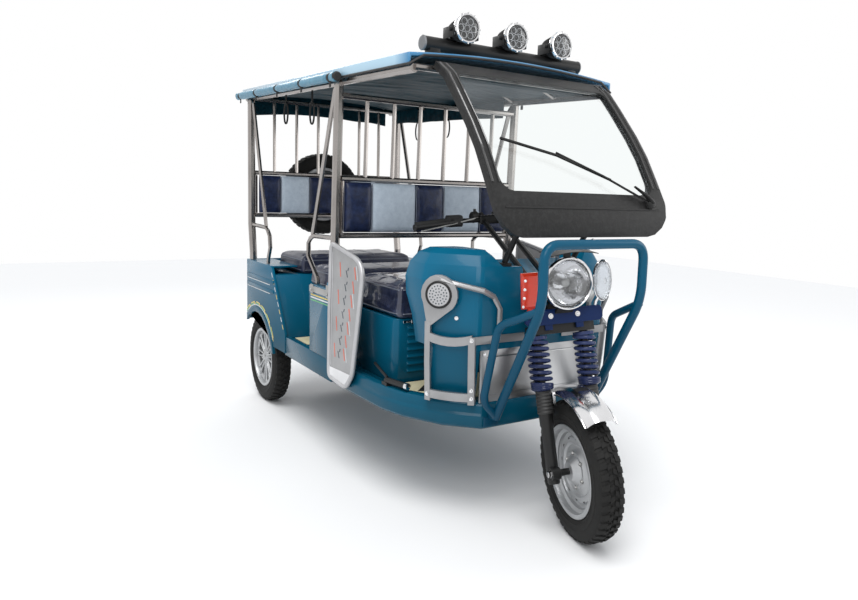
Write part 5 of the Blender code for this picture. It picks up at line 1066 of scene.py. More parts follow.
fork_shapes = [rod(0.0, 0.126, 0.016, 28, on_axis(0.700), AXIS),
    crown(0.694, 0.724, ((0.100, 0.074), (0.126, 0.060), (0.126, 0.022), (0.058, -0.026))),
    crown(0.804, 0.832, ((0.045, 0.036), (0.062, 0.022), (0.062, -0.014), (0.040, -0.026)))]
boot_shapes, nut_shapes = [], []
for side in (-LEG_X, LEG_X):
    outward = math.copysign(1.0, side)
    length = (0.440 - AXLE_ON_AXIS + 0.035) / AXIS.z
    leg_profile = [(0.0, 0.0), (0.0, 0.019), (0.004, 0.0215), (length - 0.060, 0.0215),
        (length - 0.052, 0.0245), (length, 0.0245), (length, 0.0)]
    fork_shapes.append(turned(leg_profile, 32, on_axis(AXLE_ON_AXIS - 0.035, LEG_AHEAD, side), AXIS))
    fork_shapes.append(rod(0.0, 0.294, 0.014, 24, on_axis(0.420, LEG_AHEAD, side), AXIS))
    lug = [(-0.016, 0.0), (-0.016, 0.0205), (-0.0145, 0.022), (0.0145, 0.022), (0.016, 0.0205), (0.016, 0.0)]
    fork_shapes.append(turned(lug, 28, AXLE + Vector((side, 0, 0))))
    fork_shapes.append(loft([[AXLE + Vector((side + dx, 0, 0)) + ACROSS * a + AXIS * b
        for a, b in ((0.0, -0.018), (0.0, 0.018), (-LEAD, 0.030), (-LEAD, -0.026))]
        for dx in (-0.012, 0.012)]))
    folds = [(0.0, 0.0), (0.0, 0.027)]
    for k in range(6):
        folds += [(0.006 + 0.012 * k, 0.0288), (0.012 + 0.012 * k, 0.0262)]
    folds += [(0.0785, 0.0285), (0.0795, 0.0)]
    boot_shapes.append(turned(folds, 32, on_axis(0.4285, LEG_AHEAD, side), AXIS))
    nut_at = AXLE + Vector((side + outward * 0.016, 0, 0))
    nut_shapes.append(turned([(0.0, 0.0), (0.0, 0.0135), (0.002, 0.0135), (0.002, 0.0118), (0.010, 0.0118),
        (0.012, 0.010), (0.012, 0.0)], 6, nut_at, (outward, 0, 0)))
axle_rod = rod(-LEG_X, LEG_X, 0.0118, 24, AXLE)
fork = piece("fork_legs", "steering", black_satin, fork_shapes + [axle_rod], ("fork",), steered=True)
piece("fork_boots", "steering", edge_rubber, boot_shapes, steered=True)
piece("fork_nuts", "steering", chrome, nut_shapes, steered=True)
print("fork", faces_of(fork), "triangles")

# %% Coil springs
SPRING_WIRE, SPRING_R, SPRING_TURNS = 0.0068, 0.0345, 8
# The springs' colour runs by height as well: painted shade low on the coil, a painted highlight at its top.
spring_paint = gloss_paint("spring_paint", (0.006, 0.010, 0.038), (0.035, 0.050, 0.130), 0.16, 0.45, 0.75)


def coil(side):
    low, high = on_axis(0.522, LEG_AHEAD, side), on_axis(0.684, LEG_AHEAD, side)
    steps = SPRING_TURNS * 28
    path = []
    for k in range(steps + 1):
        turn = math.tau * SPRING_TURNS * k / steps
        path.append(low.lerp(high, k / steps) + Vector((math.cos(turn) * SPRING_R, 0, 0))
            + ACROSS * math.sin(turn) * SPRING_R)
    return tube(path, SPRING_WIRE, 10)


for side, hand in ((-LEG_X, "right"), (LEG_X, "left")):
    lower_cup = [(0.0, 0.0155), (0.0, 0.031), (0.005, 0.0385), (0.008, 0.0405), (0.011, 0.0390),
        (0.014, 0.0405), (0.017, 0.0390), (0.020, 0.0405), (0.0235, 0.0400), (0.0235, 0.0155)]
    upper_cup = [(-0.002, 0.0155), (-0.004, 0.0370), (0.004, 0.0378), (0.008, 0.0370), (0.0100, 0.0155)]
    made = piece(f"coil_spring_{hand}", "steering", spring_paint,
        [coil(side), turned(lower_cup, 40, on_axis(0.5060, LEG_AHEAD, side), AXIS, ring=True),
        turned(upper_cup, 40, on_axis(0.682, LEG_AHEAD, side), AXIS, ring=True)], (f"fork_spring_{hand}",),
        steered=True)
    print(made.name, faces_of(made), "triangles")

# %% [markdown]
# The headlamp is a clear prismatic lens in a chrome ring, over a bright bowl with its bulb. A lens that
# is only a surface looks flat, so the bowl behind it is modelled and the lens lets it show. Above it a
# thin black hood is bent over, and a bracket stands on the navy yoke plate.

# %% Headlamp
LAMP = on_axis(0.850, 0.160)
LAMP_R = 0.092
ring_profile = [(-0.016, LAMP_R - 0.010), (0.000, LAMP_R - 0.0095), (0.0030, LAMP_R - 0.0065),
    (0.0025, LAMP_R - 0.0025), (-0.004, LAMP_R), (-0.014, LAMP_R), (-0.018, LAMP_R - 0.003),
    (-0.018, LAMP_R - 0.010)]
bowl = [(-0.016, LAMP_R - 0.008), (-0.024, LAMP_R - 0.004), (-0.046, LAMP_R * 0.86),
    (-0.068, LAMP_R * 0.52), (-0.085, LAMP_R * 0.34), (-0.085, 0.0), (-0.080, 0.0), (-0.078, LAMP_R * 0.30),
    (-0.062, LAMP_R * 0.48), (-0.040, LAMP_R * 0.80), (-0.020, LAMP_R - 0.011)]
piece("headlamp_bowl", "steering", chrome, [turned(bowl, 64, LAMP, FORWARD),
    turned(ring_profile, 72, LAMP, FORWARD, ring=True)], ("headlamp",), steered=True)
glass_profile = [(0.012, 0.0), (0.0115, 0.030), (0.0090, 0.055), (0.0040, 0.072), (-0.001, LAMP_R - 0.0095),
    (-0.004, LAMP_R - 0.0095), (0.0010, 0.072), (0.0060, 0.055), (0.0085, 0.030), (0.0090, 0.0)]
piece("headlamp_lens", "steering", clear_lens, [turned(glass_profile, 64, LAMP, FORWARD)], steered=True)
bulb = [(-0.078, 0.0), (-0.078, 0.016), (-0.060, 0.014), (-0.052, 0.010), (-0.040, 0.010), (-0.034, 0.006),
    (-0.032, 0.0)]
bulb_cap = [(-0.046, 0.0), (-0.046, 0.015), (-0.028, 0.015), (-0.024, 0.010), (-0.023, 0.0)]
piece("headlamp_bulb", "steering", dull_zinc, [turned(bulb, 24, LAMP, FORWARD),
    turned(bulb_cap, 24, LAMP, FORWARD)], steered=True)
hood_top = LAMP.z + LAMP_R
hood = []
for k in range(9):
    x = -0.086 + 0.172 * k / 8
    droop = 0.010 * (x / 0.086) ** 2
    hood.append([Vector((x, LAMP.y - 0.050, hood_top + 0.021 - droop)),
        Vector((x, LAMP.y + 0.060, hood_top + 0.027 - droop)),
        Vector((x, LAMP.y + 0.060, hood_top + 0.0295 - droop)),
        Vector((x, LAMP.y - 0.050, hood_top + 0.0235 - droop))])
seat_y = on_axis(0.776, 0.082).y
lamp_iron = [loft(hood), block((-0.012, 0.012), (LAMP.y + 0.010, LAMP.y + 0.022),
    (hood_top - 0.012, hood_top + 0.022), 0.001), loft([[Vector((x, seat_y + y, 0.7765))
    for x, y in ((-0.035, 0.003), (0.035, 0.003), (0.035, -0.008), (-0.035, -0.008))],
    [Vector((x, LAMP.y + y, LAMP.z - LAMP_R + 0.012))
    for x, y in ((-0.030, 0.034), (0.030, 0.034), (0.030, 0.018), (-0.030, 0.018))]])]
piece("headlamp_hood", "steering", black_satin, lamp_iron, steered=True)

# %% [markdown]
# Beside it stands an oval clear lamp on a bent stalk, and the yoke plate below shows two plated bolt
# heads. The oval is a row of rings that are wider than they are deep, lofted front to back.

# %% Side lamp and bolts
def oval_lamp(middle, half_w, half_h, profile):
    turns = [math.tau * k / 48 for k in range(48)]
    return loft([[Vector((middle.x + half_w * share * math.cos(a), middle.y - depth,
        middle.z + half_h * share * math.sin(a))) for a in turns] for share, depth in profile])


OVAL_W, OVAL_H = 0.037, 0.074
oval_at = on_axis(0.776, 0.082, 0.126)
oval_at = Vector((0.138, oval_at.y - 0.034, oval_at.z + OVAL_H + 0.020))
piece("side_lamp_shell", "steering", chrome, [oval_lamp(oval_at, OVAL_W, OVAL_H,
    ((0.30, -0.020), (0.70, -0.016), (0.98, -0.004), (1.0, 0.004), (0.96, 0.006), (0.90, 0.003),
    (0.60, -0.004), (0.20, -0.008))), tube([on_axis(0.7765, 0.086, 0.126), on_axis(0.790, 0.090, 0.130),
    oval_at + Vector((0, 0.012, -0.050))], 0.0062, 12)], ("side_lamp",), steered=True)
piece("side_lamp_lens", "steering", small_lens, [oval_lamp(oval_at, OVAL_W, OVAL_H,
    ((0.94, 0.004), (0.93, 0.007), (0.80, 0.014), (0.50, 0.020), (0.15, 0.022), (0.13, 0.020),
    (0.48, 0.018), (0.77, 0.012), (0.88, 0.006)))], steered=True)
print("side lamp at", [round(v, 3) for v in oval_at])


def bolts_at(spots, normal, radius=0.006, height=0.0045, washer=0.009):
    """Bolt heads standing on the given points, all facing one way."""
    turn = UP.rotation_difference(Vector(normal).normalized()).to_matrix().to_4x4()
    return [moved(bolt_head(radius, height, washer), Matrix.Translation(p) @ turn) for p in spots]


plate_bolts = bolts_at([on_axis(0.752, 0.0905, x) for x in (-0.052, 0.052)], ACROSS, 0.0065, 0.005, 0.0095)
piece("yoke_bolts", "steering", chrome, plate_bolts, steered=True)

# %% [markdown]
# The chrome mudguard is a short arched shell, domed across. It is lofted from sections along an arc about
# the wheel, with a rolled bead at its edge and a dark strip where its bracket bolts through: painted shade
# of the slot.

# %% Front mudguard
GUARD_R, GUARD_HALF_W = 0.283, 0.0595


def guard_point(angle_deg, x, lift):
    angle = math.radians(angle_deg)
    return AXLE + Vector((x, math.sin(angle) * (GUARD_R + lift), math.cos(angle) * (GUARD_R + lift)))


def guard_shell(start_deg, end_deg, steps):
    """Sections across the shell, flat on top and falling to a skirt at each side."""
    top, skirt, wall = 0.009, -0.020, 0.003
    rings = []
    for k in range(steps + 1):
        angle = start_deg + (end_deg - start_deg) * k / steps
        taper = 1.0 - 0.10 * max(0.0, (-angle - 18.0) / 16.0)
        shares = [-1.0 + 2.0 * i / 16 for i in range(17)]
        section = [(s * GUARD_HALF_W * taper, top - (top - skirt) * abs(s) ** 3.2) for s in shares]
        outer = [guard_point(angle, x, wall + dz) for x, dz in section]
        inner = [guard_point(angle, x * 0.965, dz) for x, dz in reversed(section)]
        rings.append(outer + inner)
    return loft(rings)


guard_edges = []
for side in (-1, 1):
    edge = [guard_point(-37 + 77 * k / 24, side * (GUARD_HALF_W - 0.001), -0.018) for k in range(25)]
    guard_edges.append(tube(edge, 0.0028, 8))
stays = []
for side in (-1, 1):
    foot = on_axis(0.468, LEG_AHEAD, side * (LEG_X - 0.0295))
    stays.append(loft([[foot + Vector((-side * a, 0, 0)) + ACROSS * b + AXIS * c
        for b, c in ((0.012, -0.012), (0.012, 0.030), (-0.012, 0.030), (-0.012, -0.012))]
        for a in (0.0, 0.010)]))
guard_obj = piece("front_mudguard_shell", "steering", guard_chrome,
    [guard_shell(-37.0, 40.0, 32), *guard_edges, *stays], ("front_mudguard",), steered=True)
# A thin dark strip over the slot: painted shade, not an opening.
slot_band = []
for k in range(5):
    angle = -6.0 + 5.0 * k / 4
    slot_band.append([guard_point(angle, x, 0.0122 - 0.5 * x * x + dz)
        for x, dz in ((-0.024, 0), (0.024, 0), (0.024, 0.0006), (-0.024, 0.0006))])
piece("front_mudguard_slot", "steering", black_plastic_and_painted_shade, [loft(slot_band)], steered=True)
print("mudguard", faces_of(guard_obj), "triangles")

# %% [markdown]
# The cushions are foam under coated cloth. Each starts as a rounded block a little smaller than its CAD
# solid, is remeshed to even quads and is blown up by Blender's cloth solver with its foot pinned. Its
# movement is held to a cap, because foam swells between its seams and never balloons.

# %% Padded cushions
def surface_of(obj):
    bm = bmesh.new()
    bm.from_mesh(obj.data)
    tree_of = BVHTree.FromBMesh(bm)
    bm.free()
    return tree_of


def final_mesh(obj):
    graph = bpy.context.evaluated_depsgraph_get()
    return bpy.data.meshes.new_from_object(obj.evaluated_get(graph))


def wrinkled(point, strength):
    """Long soft folds of film, strongest in the middle of the top."""
    lengthwise = noise.noise(Vector((point.x * 3.5, point.y * 13.0, 3.7)))
    crossing = noise.noise(Vector((point.x * 9.0 + 5.0, point.y * 5.0, 8.1)))
    return strength * (lengthwise + 0.6 * crossing)


def cushion(name, node, x, y, z, finish, cap, film):
    """A pad on its CAD solid's place, swollen by the cloth solver and capped."""
    obj = piece(name, nodes[node]["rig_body"], finish, [block(x, y, z, 0.022, 4)], (node,), sharp=180.0)
    remesh = obj.modifiers.new("even quads", "REMESH")
    remesh.mode = "VOXEL"
    remesh.voxel_size = 0.009
    obj.data = final_mesh(obj)
    obj.modifiers.clear()
    before = [v.co.copy() for v in obj.data.vertices]
    foot = obj.vertex_groups.new(name="foot")
    foot.add([v.index for v in obj.data.vertices if v.co.z < z[0] + 0.012], 1.0, "REPLACE")
    cloth = obj.modifiers.new("swell", "CLOTH")
    cloth.settings.quality = 5
    cloth.settings.mass = 0.3
    cloth.settings.tension_stiffness = 15.0
    cloth.settings.compression_stiffness = 15.0
    cloth.settings.bending_stiffness = 0.5
    cloth.settings.use_pressure = True
    cloth.settings.uniform_pressure_force = 4.0
    cloth.settings.effector_weights.gravity = 0.0
    cloth.settings.vertex_group_mass = "foot"
    cloth.point_cache.frame_end = 20
    for frame_now in range(1, 21):
        bpy.context.scene.frame_set(frame_now)
    swollen = final_mesh(obj)
    after = [v.co.copy() for v in swollen.vertices]
    bpy.data.meshes.remove(swollen)
    obj.modifiers.clear()
    bpy.context.scene.frame_set(1)
    for vert, old, new in zip(obj.data.vertices, before, after):
        step = new - old
        if step.length > 1e-7:
            vert.co = old + step.normalized() * (cap * math.tanh(step.length / cap))
        height = (old.z - z[0]) / (z[1] - z[0])
        if height > 0.75:
            inset = min(old.x - x[0], x[1] - old.x, old.y - y[0], y[1] - old.y)
            vert.co.z += wrinkled(old, film) * min(1.0, max(0.0, inset) / 0.045)
    finer = obj.modifiers.new("finer", "SUBSURF")
    finer.levels = 1
    obj.data = final_mesh(obj)
    obj.modifiers.clear()
    obj.data.shade_smooth()
    return obj


def snapped(points, tree_of, lift):
    """Points dropped on the nearest place of a surface, then lifted off it a little."""
    out_points = []
    for point in points:
        at, normal, index, distance = tree_of.find_nearest(Vector(point))
        out_points.append(at + normal * lift)
    return out_points


def rim_loop(x, y, z):
    """A rectangle with cut corners at a height, as a closed row of even points."""
    corner, steps = 0.024, 14
    corners = [(x[0], y[0]), (x[1], y[0]), (x[1], y[1]), (x[0], y[1])]
    out_points = []
    for (ax, ay), (bx, by) in zip(corners, corners[1:] + corners[:1]):
        side = Vector((bx - ax, by - ay, 0))
        start = Vector((ax, ay, z)) + side.normalized() * corner
        end = Vector((bx, by, z)) - side.normalized() * corner
        out_points += [start.lerp(end, k / steps) for k in range(steps + 1)]
    return out_points


CUSHIONS = (                  # name, node, x, y, z, finish, cap, film
    ("driver_cushion", "driver_seat", (-0.387, 0.387), (-0.368, 0.030), (0.6905, 0.824),
     seat_film, 0.010, 0.0040),
    ("front_bench_pad", "front_bench_cushion", (-0.444, 0.444), (0.116, 0.422), (0.7355, 0.826),
     bench_film, 0.009, 0.0015),
    ("rear_bench_pad", "rear_bench_cushion", (-0.334, 0.334), (0.808, 1.182), (0.7355, 0.826),
     bench_film, 0.009, 0.0015),
)
for name, node, x, y, z, finish, cap, film in CUSHIONS:
    y = (y[0] + VEHICLE_Y, y[1] + VEHICLE_Y)
    pad = cushion(name, node, x, y, z, finish, cap, film)
    tree_of = surface_of(pad)
    upper = snapped(rim_loop(x, y, z[1] - 0.017), tree_of, 0.0003)
    lower = snapped(rim_loop(x, y, z[0] + 0.020), tree_of, 0.0003)
    seams = [tube(path, 0.0026, 6, closed=True) for path in (upper, lower)]
    for share in (-0.33, 0.33):
        line = [Vector((share * x[1], y[0] + (y[1] - y[0]) * k / 24, z[1] + 0.02)) for k in range(1, 24)]
        seams.append(tube(snapped(line, tree_of, -0.0004), 0.0020, 6))
    piece(f"{name}_piping", pad["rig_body"], piping, seams)
    print(name, faces_of(pad), "triangles, highest", round(max(v.co.z for v in pad.data.vertices), 3))

# %% [markdown]
# The backrests are rows of stuffed panels in two cloths, sewn side by side. Each panel is a pillow: two
# faces that meet in a seam at its border, thick in the middle and nearly square at its edges. These
# are shaped by a formula and not by the solver, because foam on a board keeps its shape.


# %% Backrest panels
def pillow(x, z, y):
    """A panel between two faces, closed at its border."""
    steep, nx, nz = 7.0, 30, 22
    x_mid, x_half = 0.5 * (x[0] + x[1]), 0.5 * (x[1] - x[0])
    z_mid, z_half = 0.5 * (z[0] + z[1]), 0.5 * (z[1] - z[0])
    y_mid, y_half = 0.5 * (y[0] + y[1]), 0.5 * (y[1] - y[0])
    bm = bmesh.new()
    rows = {}
    for face in (-1, 1):
        for i in range(nx + 1):
            for j in range(nz + 1):
                u = math.sin(0.5 * math.pi * (2.0 * i / nx - 1.0))
                v = math.sin(0.5 * math.pi * (2.0 * j / nz - 1.0))
                border = i in (0, nx) or j in (0, nz)
                if border and face == 1:
                    rows[face, i, j] = rows[-1, i, j]
                    continue
                full = ((1.0 - abs(u) ** steep) * (1.0 - abs(v) ** steep)) ** 0.42
                crown_here = 0.86 + 0.14 * (1.0 - u * u) * (1.0 - v * v)
                depth = 0.0 if border else y_half * full * crown_here
                fold = 0.0012 * noise.noise(Vector((x_mid * 7.0 + u * 2.1, v * 3.0, 1.0 + face)))
                rows[face, i, j] = bm.verts.new((x_mid + x_half * u,
                    y_mid + face * (depth + (0 if border else fold * full)), z_mid + z_half * v))
    for face in (-1, 1):
        for i in range(nx):
            for j in range(nz):
                bm.faces.new((rows[face, i, j], rows[face, i + 1, j], rows[face, i + 1, j + 1],
                    rows[face, i, j + 1]))
    bmesh.ops.recalc_face_normals(bm, faces=bm.faces)
    return bm


def backrest(node, edges, pale):
    """Panels between the given edges along X; pale lists the numbers of the light ones."""
    low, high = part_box(node)
    y = (low.y + 0.001, high.y - 0.001)
    z = (low.z + 0.001, high.z - 0.001)
    body = nodes[node]["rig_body"]
    spans = list(enumerate(zip(edges, edges[1:])))
    dark = [pillow(span, z, y) for k, span in spans if k not in pale]
    light = [pillow(span, z, y) for k, span in spans if k in pale]
    dark_obj = piece(f"{node}_dark", body, navy_print, dark, (node,), sharp=180.0)
    light_obj = piece(f"{node}_pale", body, pale_weave, light, sharp=180.0)
    middle = 0.5 * (low.y + high.y)
    seams = []
    for edge in edges[1:-1]:
        for at in y:
            deep = middle + (at - middle) * 0.60
            seams.append(tube([(edge, deep, z[0] + 0.006), (edge, deep, z[1] - 0.006)], 0.0022, 8))
    piece(f"{node}_seams", body, piping, seams)
    print(node, faces_of(dark_obj) + faces_of(light_obj), "triangles", [round(v, 3) for v in y])


backrest("middle_backrest", (-0.428, -0.302, -0.078, 0.068, 0.277, 0.428), (1, 3))
backrest("rear_backrest", (-0.428, -0.305, -0.130, 0.130, 0.305, 0.428), (1, 3))

# %% Seat latches
seat_body = nodes["driver_seat_base"]["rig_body"]
latch_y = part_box("driver_seat_base")[0].y
latch_shapes = [block((-0.365, -0.150), (latch_y - 0.0035, latch_y + 0.001), (0.6745, 0.6850), 0.0012)]
for x in (-0.330, -0.230):
    latch_shapes.append(block((x, x + 0.045), (latch_y - 0.0065, latch_y - 0.003), (0.6700, 0.6885), 0.0015))
piece("seat_latch_strip", seat_body, chrome, latch_shapes)
print("latches on", seat_body)

# %% [markdown]
# Many small parts sit on a panel. To seat them exactly, a ray is cast at the CAD solid, and the part is
# placed where it hits, turned to the surface there.


# %% Helpers for seating on a surface
def hit_on(node, origin, direction):
    """Where a ray meets a CAD solid, and the surface's direction there."""
    at, normal, index, distance = surface_of(nodes[node]).ray_cast(Vector(origin),
        Vector(direction).normalized())
    if at is None:
        raise ValueError(f"no part of {node} lies that way")
    return at, normal


def mirror(bm):
    """A copy of a shape on the other side of the vehicle."""
    other = bm.copy()
    bmesh.ops.transform(other, matrix=Matrix.Scale(-1.0, 4, (1, 0, 0)), verts=other.verts)
    bmesh.ops.reverse_faces(other, faces=other.faces)
    return other


def both(shapes):
    return shapes + [mirror(bm) for bm in shapes]


def roof_edge(y):
    """Height of the roof's side edge at a station of the drawing."""
    return 1.645 + 0.074 * (y + 0.567) / 1.941


def roof_under(y, x=0.0):
    """Height of the roof sheet's lower face: a low crown between its side edges."""
    return roof_edge(y) + 0.026 * (1.0 - (x / ROOF_HALF_W) ** 2) + 0.004


# %% [markdown]
# The roof sheet is glossy. Its colour is deep blue at its front edge and pale further back; the pale is a
# painted reflection of the sky on its top. A black rubber profile covers its cut edge, all the way round.
# Under it hangs a dark lining of coated cloth, stretched below the bows, so it is held up at each bow and
# sags a little in every bay.

# %% Roof sheet and rubber edge
roof_top = start("roof_top", (0.42, 0.60, 0.72), 0.26, Coat_Weight=0.5, Coat_Roughness=0.06)
roof_spot = spot(roof_top)
split_roof = node_of(roof_top, "ShaderNodeSeparateXYZ")
wire(roof_top, roof_spot, split_roof.inputs["Vector"])
# The colour runs from deep blue at the front edge to pale further back. The pale is a painted reflection of
# the sky, mixed with a random drift of tone.
sky_reflection_along_roof = node_of(roof_top, "ShaderNodeMapRange")
sky_reflection_along_roof.inputs["From Min"].default_value = -0.640
sky_reflection_along_roof.inputs["From Max"].default_value = -0.520
wire(roof_top, split_roof.outputs["Y"], sky_reflection_along_roof.inputs["Value"])
drift_and_sky_reflection = node_of(roof_top, "ShaderNodeMath", operation="MULTIPLY_ADD")
drift_and_sky_reflection.inputs[1].default_value = 0.35
wire(roof_top, cloudy(roof_top, roof_spot, 2.5, 4.0), drift_and_sky_reflection.inputs[0])
wire(roof_top, sky_reflection_along_roof.outputs["Result"], drift_and_sky_reflection.inputs[2])
colour_by(roof_top, blend_of(roof_top, drift_and_sky_reflection.outputs[0], (0.020, 0.190, 0.400), (0.400, 0.590, 0.720),
    0.10, 1.05))
bump_by(roof_top, cloudy(roof_top, spot(roof_top), 4.0, 3.0), 0.25, 0.02)
roof_obj = softened("roof_panel", roof_top, 0.004, 2)

edge_path = []
EDGE_STATIONS = 28
for k in range(EDGE_STATIONS + 1):
    y = -0.5665 + 1.9385 * k / EDGE_STATIONS
    edge_path.append(place(-0.4805, y, roof_edge(y) - 0.0215))
for k in range(1, 20):
    x = -0.470 + 0.940 * k / 20
    edge_path.append(place(x, 1.3735, roof_under(1.372, x) + 0.004))
for k in range(EDGE_STATIONS + 1):
    y = 1.372 - 1.9385 * k / EDGE_STATIONS
    edge_path.append(place(0.4805, y, roof_edge(y) - 0.0215))
for k in range(1, 20):
    x = 0.470 - 0.940 * k / 20
    edge_path.append(place(x, -0.5685, roof_under(-0.566, x) + 0.003))
piece("roof_rubber", roof_obj["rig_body"], edge_rubber, [tube(edge_path, 0.0048, 8, closed=True)])

# %% Lining of the roof
BOWS = (-0.5645, -0.250, 0.056, 0.480, 0.880, 1.330)
LINING_HALF_W, LINING_T = 0.434, 0.0011


def lining_height(x, y):
    """Below the bows, with a sag in each bay and folds that run across it."""
    before = max([b for b in BOWS if b <= y], default=BOWS[0])
    after = min([b for b in BOWS if b > y], default=BOWS[-1])
    share = (y - before) / max(after - before, 1e-6)
    sag = 0.014 * math.sin(math.pi * min(1.0, max(0.0, share)))
    free = math.sin(math.pi * min(1.0, max(0.0, share))) ** 0.5
    fold = 0.0065 * noise.noise(Vector((x * 2.2, y * 17.0, 4.2)))
    fold += 0.0035 * noise.noise(Vector((x * 9.0, y * 30.0, 9.2)))
    return roof_under(y, x) - 0.0228 - sag + free * min(fold, 0.4 * sag)


def thin_sheet(rows, thick):
    """A closed sheet: rows of points, and the same rows pushed through its thickness."""
    bm = bmesh.new()
    front = [[bm.verts.new(p) for p in row] for row in rows]
    faces = []
    for low, high in zip(front, front[1:]):
        for i in range(len(low) - 1):
            faces.append(bm.faces.new((low[i], low[i + 1], high[i + 1], high[i])))
    bm.normal_update()
    normals = {v: v.normal.copy() for row in front for v in row}
    back = [[bm.verts.new(v.co - normals[v] * thick) for v in row] for row in front]
    for low, high in zip(back, back[1:]):
        for i in range(len(low) - 1):
            bm.faces.new((low[i], high[i], high[i + 1], low[i + 1]))
    borders = [(front[0], back[0]), (front[-1], back[-1])]
    borders += [([row[end] for row in front], [row[end] for row in back]) for end in (0, -1)]
    for upper, under in borders:
        for a, b, c, d in zip(upper, upper[1:], under, under[1:]):
            bm.faces.new((a, b, d, c))
    bmesh.ops.recalc_face_normals(bm, faces=bm.faces)
    return bm


lining_rows = []
for k in range(121):
    y = -0.546 + 1.870 * k / 120
    across = [-LINING_HALF_W + 2 * LINING_HALF_W * i / 36 for i in range(37)]
    lining_rows.append([place(x, y, lining_height(x, y)) for x in across])
lining = piece("roof_lining", roof_obj["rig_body"], lining_cloth, [thin_sheet(lining_rows, LINING_T)],
    sharp=180.0)

# %% Valances at the tail and on the far side
def valance(start_at, end_at, top_of, drop, cloth_name):
    """A strip of the same cloth that hangs from the frame, with a wavy lower edge."""
    rows = []
    along = end_at - start_at
    aside = Vector((-along.y, along.x, 0)).normalized()
    for j in range(13):
        row = []
        for i in range(81):
            share = i / 80
            at = start_at + along * share
            fall = drop * (1.0 + 0.10 * noise.noise(Vector((share * 5.0, 2.2, 1.0)))) * j / 12
            ripple = 0.0045 * (0.3 + j / 12) * noise.noise(Vector((share * along.length * 11.0, 0.10 * j,
                6.0)))
            row.append(Vector((at.x, at.y, top_of(share) - fall)) + aside * ripple)
        rows.append(row)
    strip = piece(cloth_name, roof_obj["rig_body"], lining_cloth, [thin_sheet(rows, LINING_T)], sharp=180.0)
    return strip


valance(place(-0.425, 1.352, 0), place(0.425, 1.352, 0),
    lambda share: roof_under(1.352, -0.425 + 0.85 * share) - 0.003, 0.125, "tail_valance")
valance(place(0.4345, 0.110, 0), place(0.4345, 1.225, 0),
    lambda share: roof_edge(0.110 + 1.115 * share) - 0.020, 0.085, "far_side_valance")
print("lining", faces_of(lining), "triangles")

# %% [markdown]
# The side curtains are rolled up under the roof's edge and held by black straps. A roll of cloth swells
# between its straps, so its radius is a smooth wave with a dip at each strap.

# %% Rolled curtains
ROLL_R = 0.0200
STRAPS = (0.055, 0.385, 0.715, 1.045, 1.325)
roll_shapes, strap_shapes, cap_shapes = [], [], []
for k in range(97):
    y = -0.010 + 1.382 * k / 96
    pinch = sum(math.exp(-((y - at) / 0.020) ** 2) for at in STRAPS)
    lump = 0.0010 * noise.noise(Vector((y * 9.0, 0.0, 2.0)))
    radius = ROLL_R - 0.0042 * min(1.0, pinch) + lump
    centre = place(-ROOF_HALF_W - 0.0215, y, roof_edge(y) - 0.022)
    roll_shapes.append([centre + Vector((math.cos(a), 0, math.sin(a))) * radius
        * (1.0 + 0.05 * math.cos(3 * a + y * 4.0)) for a in [math.tau * i / 28 for i in range(28)]])
for at in STRAPS:
    centre = place(-ROOF_HALF_W - 0.0215, at, roof_edge(at) - 0.022)
    strap_shapes.append(turned([(-0.010, 0.0158), (-0.010, 0.0182), (0.010, 0.0182), (0.010, 0.0158)], 28,
        centre, (0, 1, 0), ring=True))
    strap_shapes.append(block((centre.x + 0.008, centre.x + 0.0215), (centre.y - 0.010, centre.y + 0.010),
        (centre.z + 0.010, centre.z + 0.0125)))
    strap_shapes.append(block((centre.x - 0.0035, centre.x - 0.0010), (centre.y - 0.009, centre.y + 0.009),
        (centre.z - 0.040, centre.z - 0.014), 0.0008))
cap_shapes.append(turned([(-0.004, 0.0), (-0.004, 0.0150), (0.004, 0.0195), (0.012, 0.0208), (0.012, 0.0)],
    28, place(-ROOF_HALF_W - 0.0215, -0.016, roof_edge(0.0) - 0.022), (0, 1, 0)))
piece("curtain_rolls", nodes["curtain_roll_right"]["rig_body"], curtain_cloth, both([loft(roll_shapes)]),
    ("curtain_roll_right", "curtain_roll_left"), sharp=180.0)
piece("curtain_straps", nodes["curtain_roll_right"]["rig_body"], webbing, both(strap_shapes + cap_shapes))

# %% Hanging strap loops
def strap_loop(x, y, z):
    """A flat webbing loop that a passenger holds, hung from the side rail."""
    height, width = 0.052, 0.026
    top = place(x, y, roof_edge(y) - 0.034)
    middle = place(x, y, z)
    ring = [middle + Vector((0, math.sin(a) * width, math.cos(a) * height))
        for a in [math.tau * k / 28 for k in range(28)]]
    stem = [top - UP * 0.010, middle + UP * (height + 0.001)]
    outward = Vector((1, 0, 0))
    return [tube(ring, 0.0048, 8, closed=True, flat=0.45, spin=outward),
        tube(stem, 0.0048, 8, flat=0.45, spin=outward)]


loops = []
for x, y, z in ((-0.445, 0.753, 1.560), (-0.445, 0.404, 1.535), (0.418, 0.920, 1.545), (0.418, 0.600, 1.545)):
    loops += strap_loop(x, y, z)
piece("hand_straps", nodes["canopy_frame"]["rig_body"], webbing, loops)
print("straps done")

# %% [markdown]
# Three floodlights stand on a tube across the roof's front. Each is a ribbed dark bowl with a chrome
# bezel, seven reflector cups and a clear lens. The cups are placed by turning one about the lamp's axis.

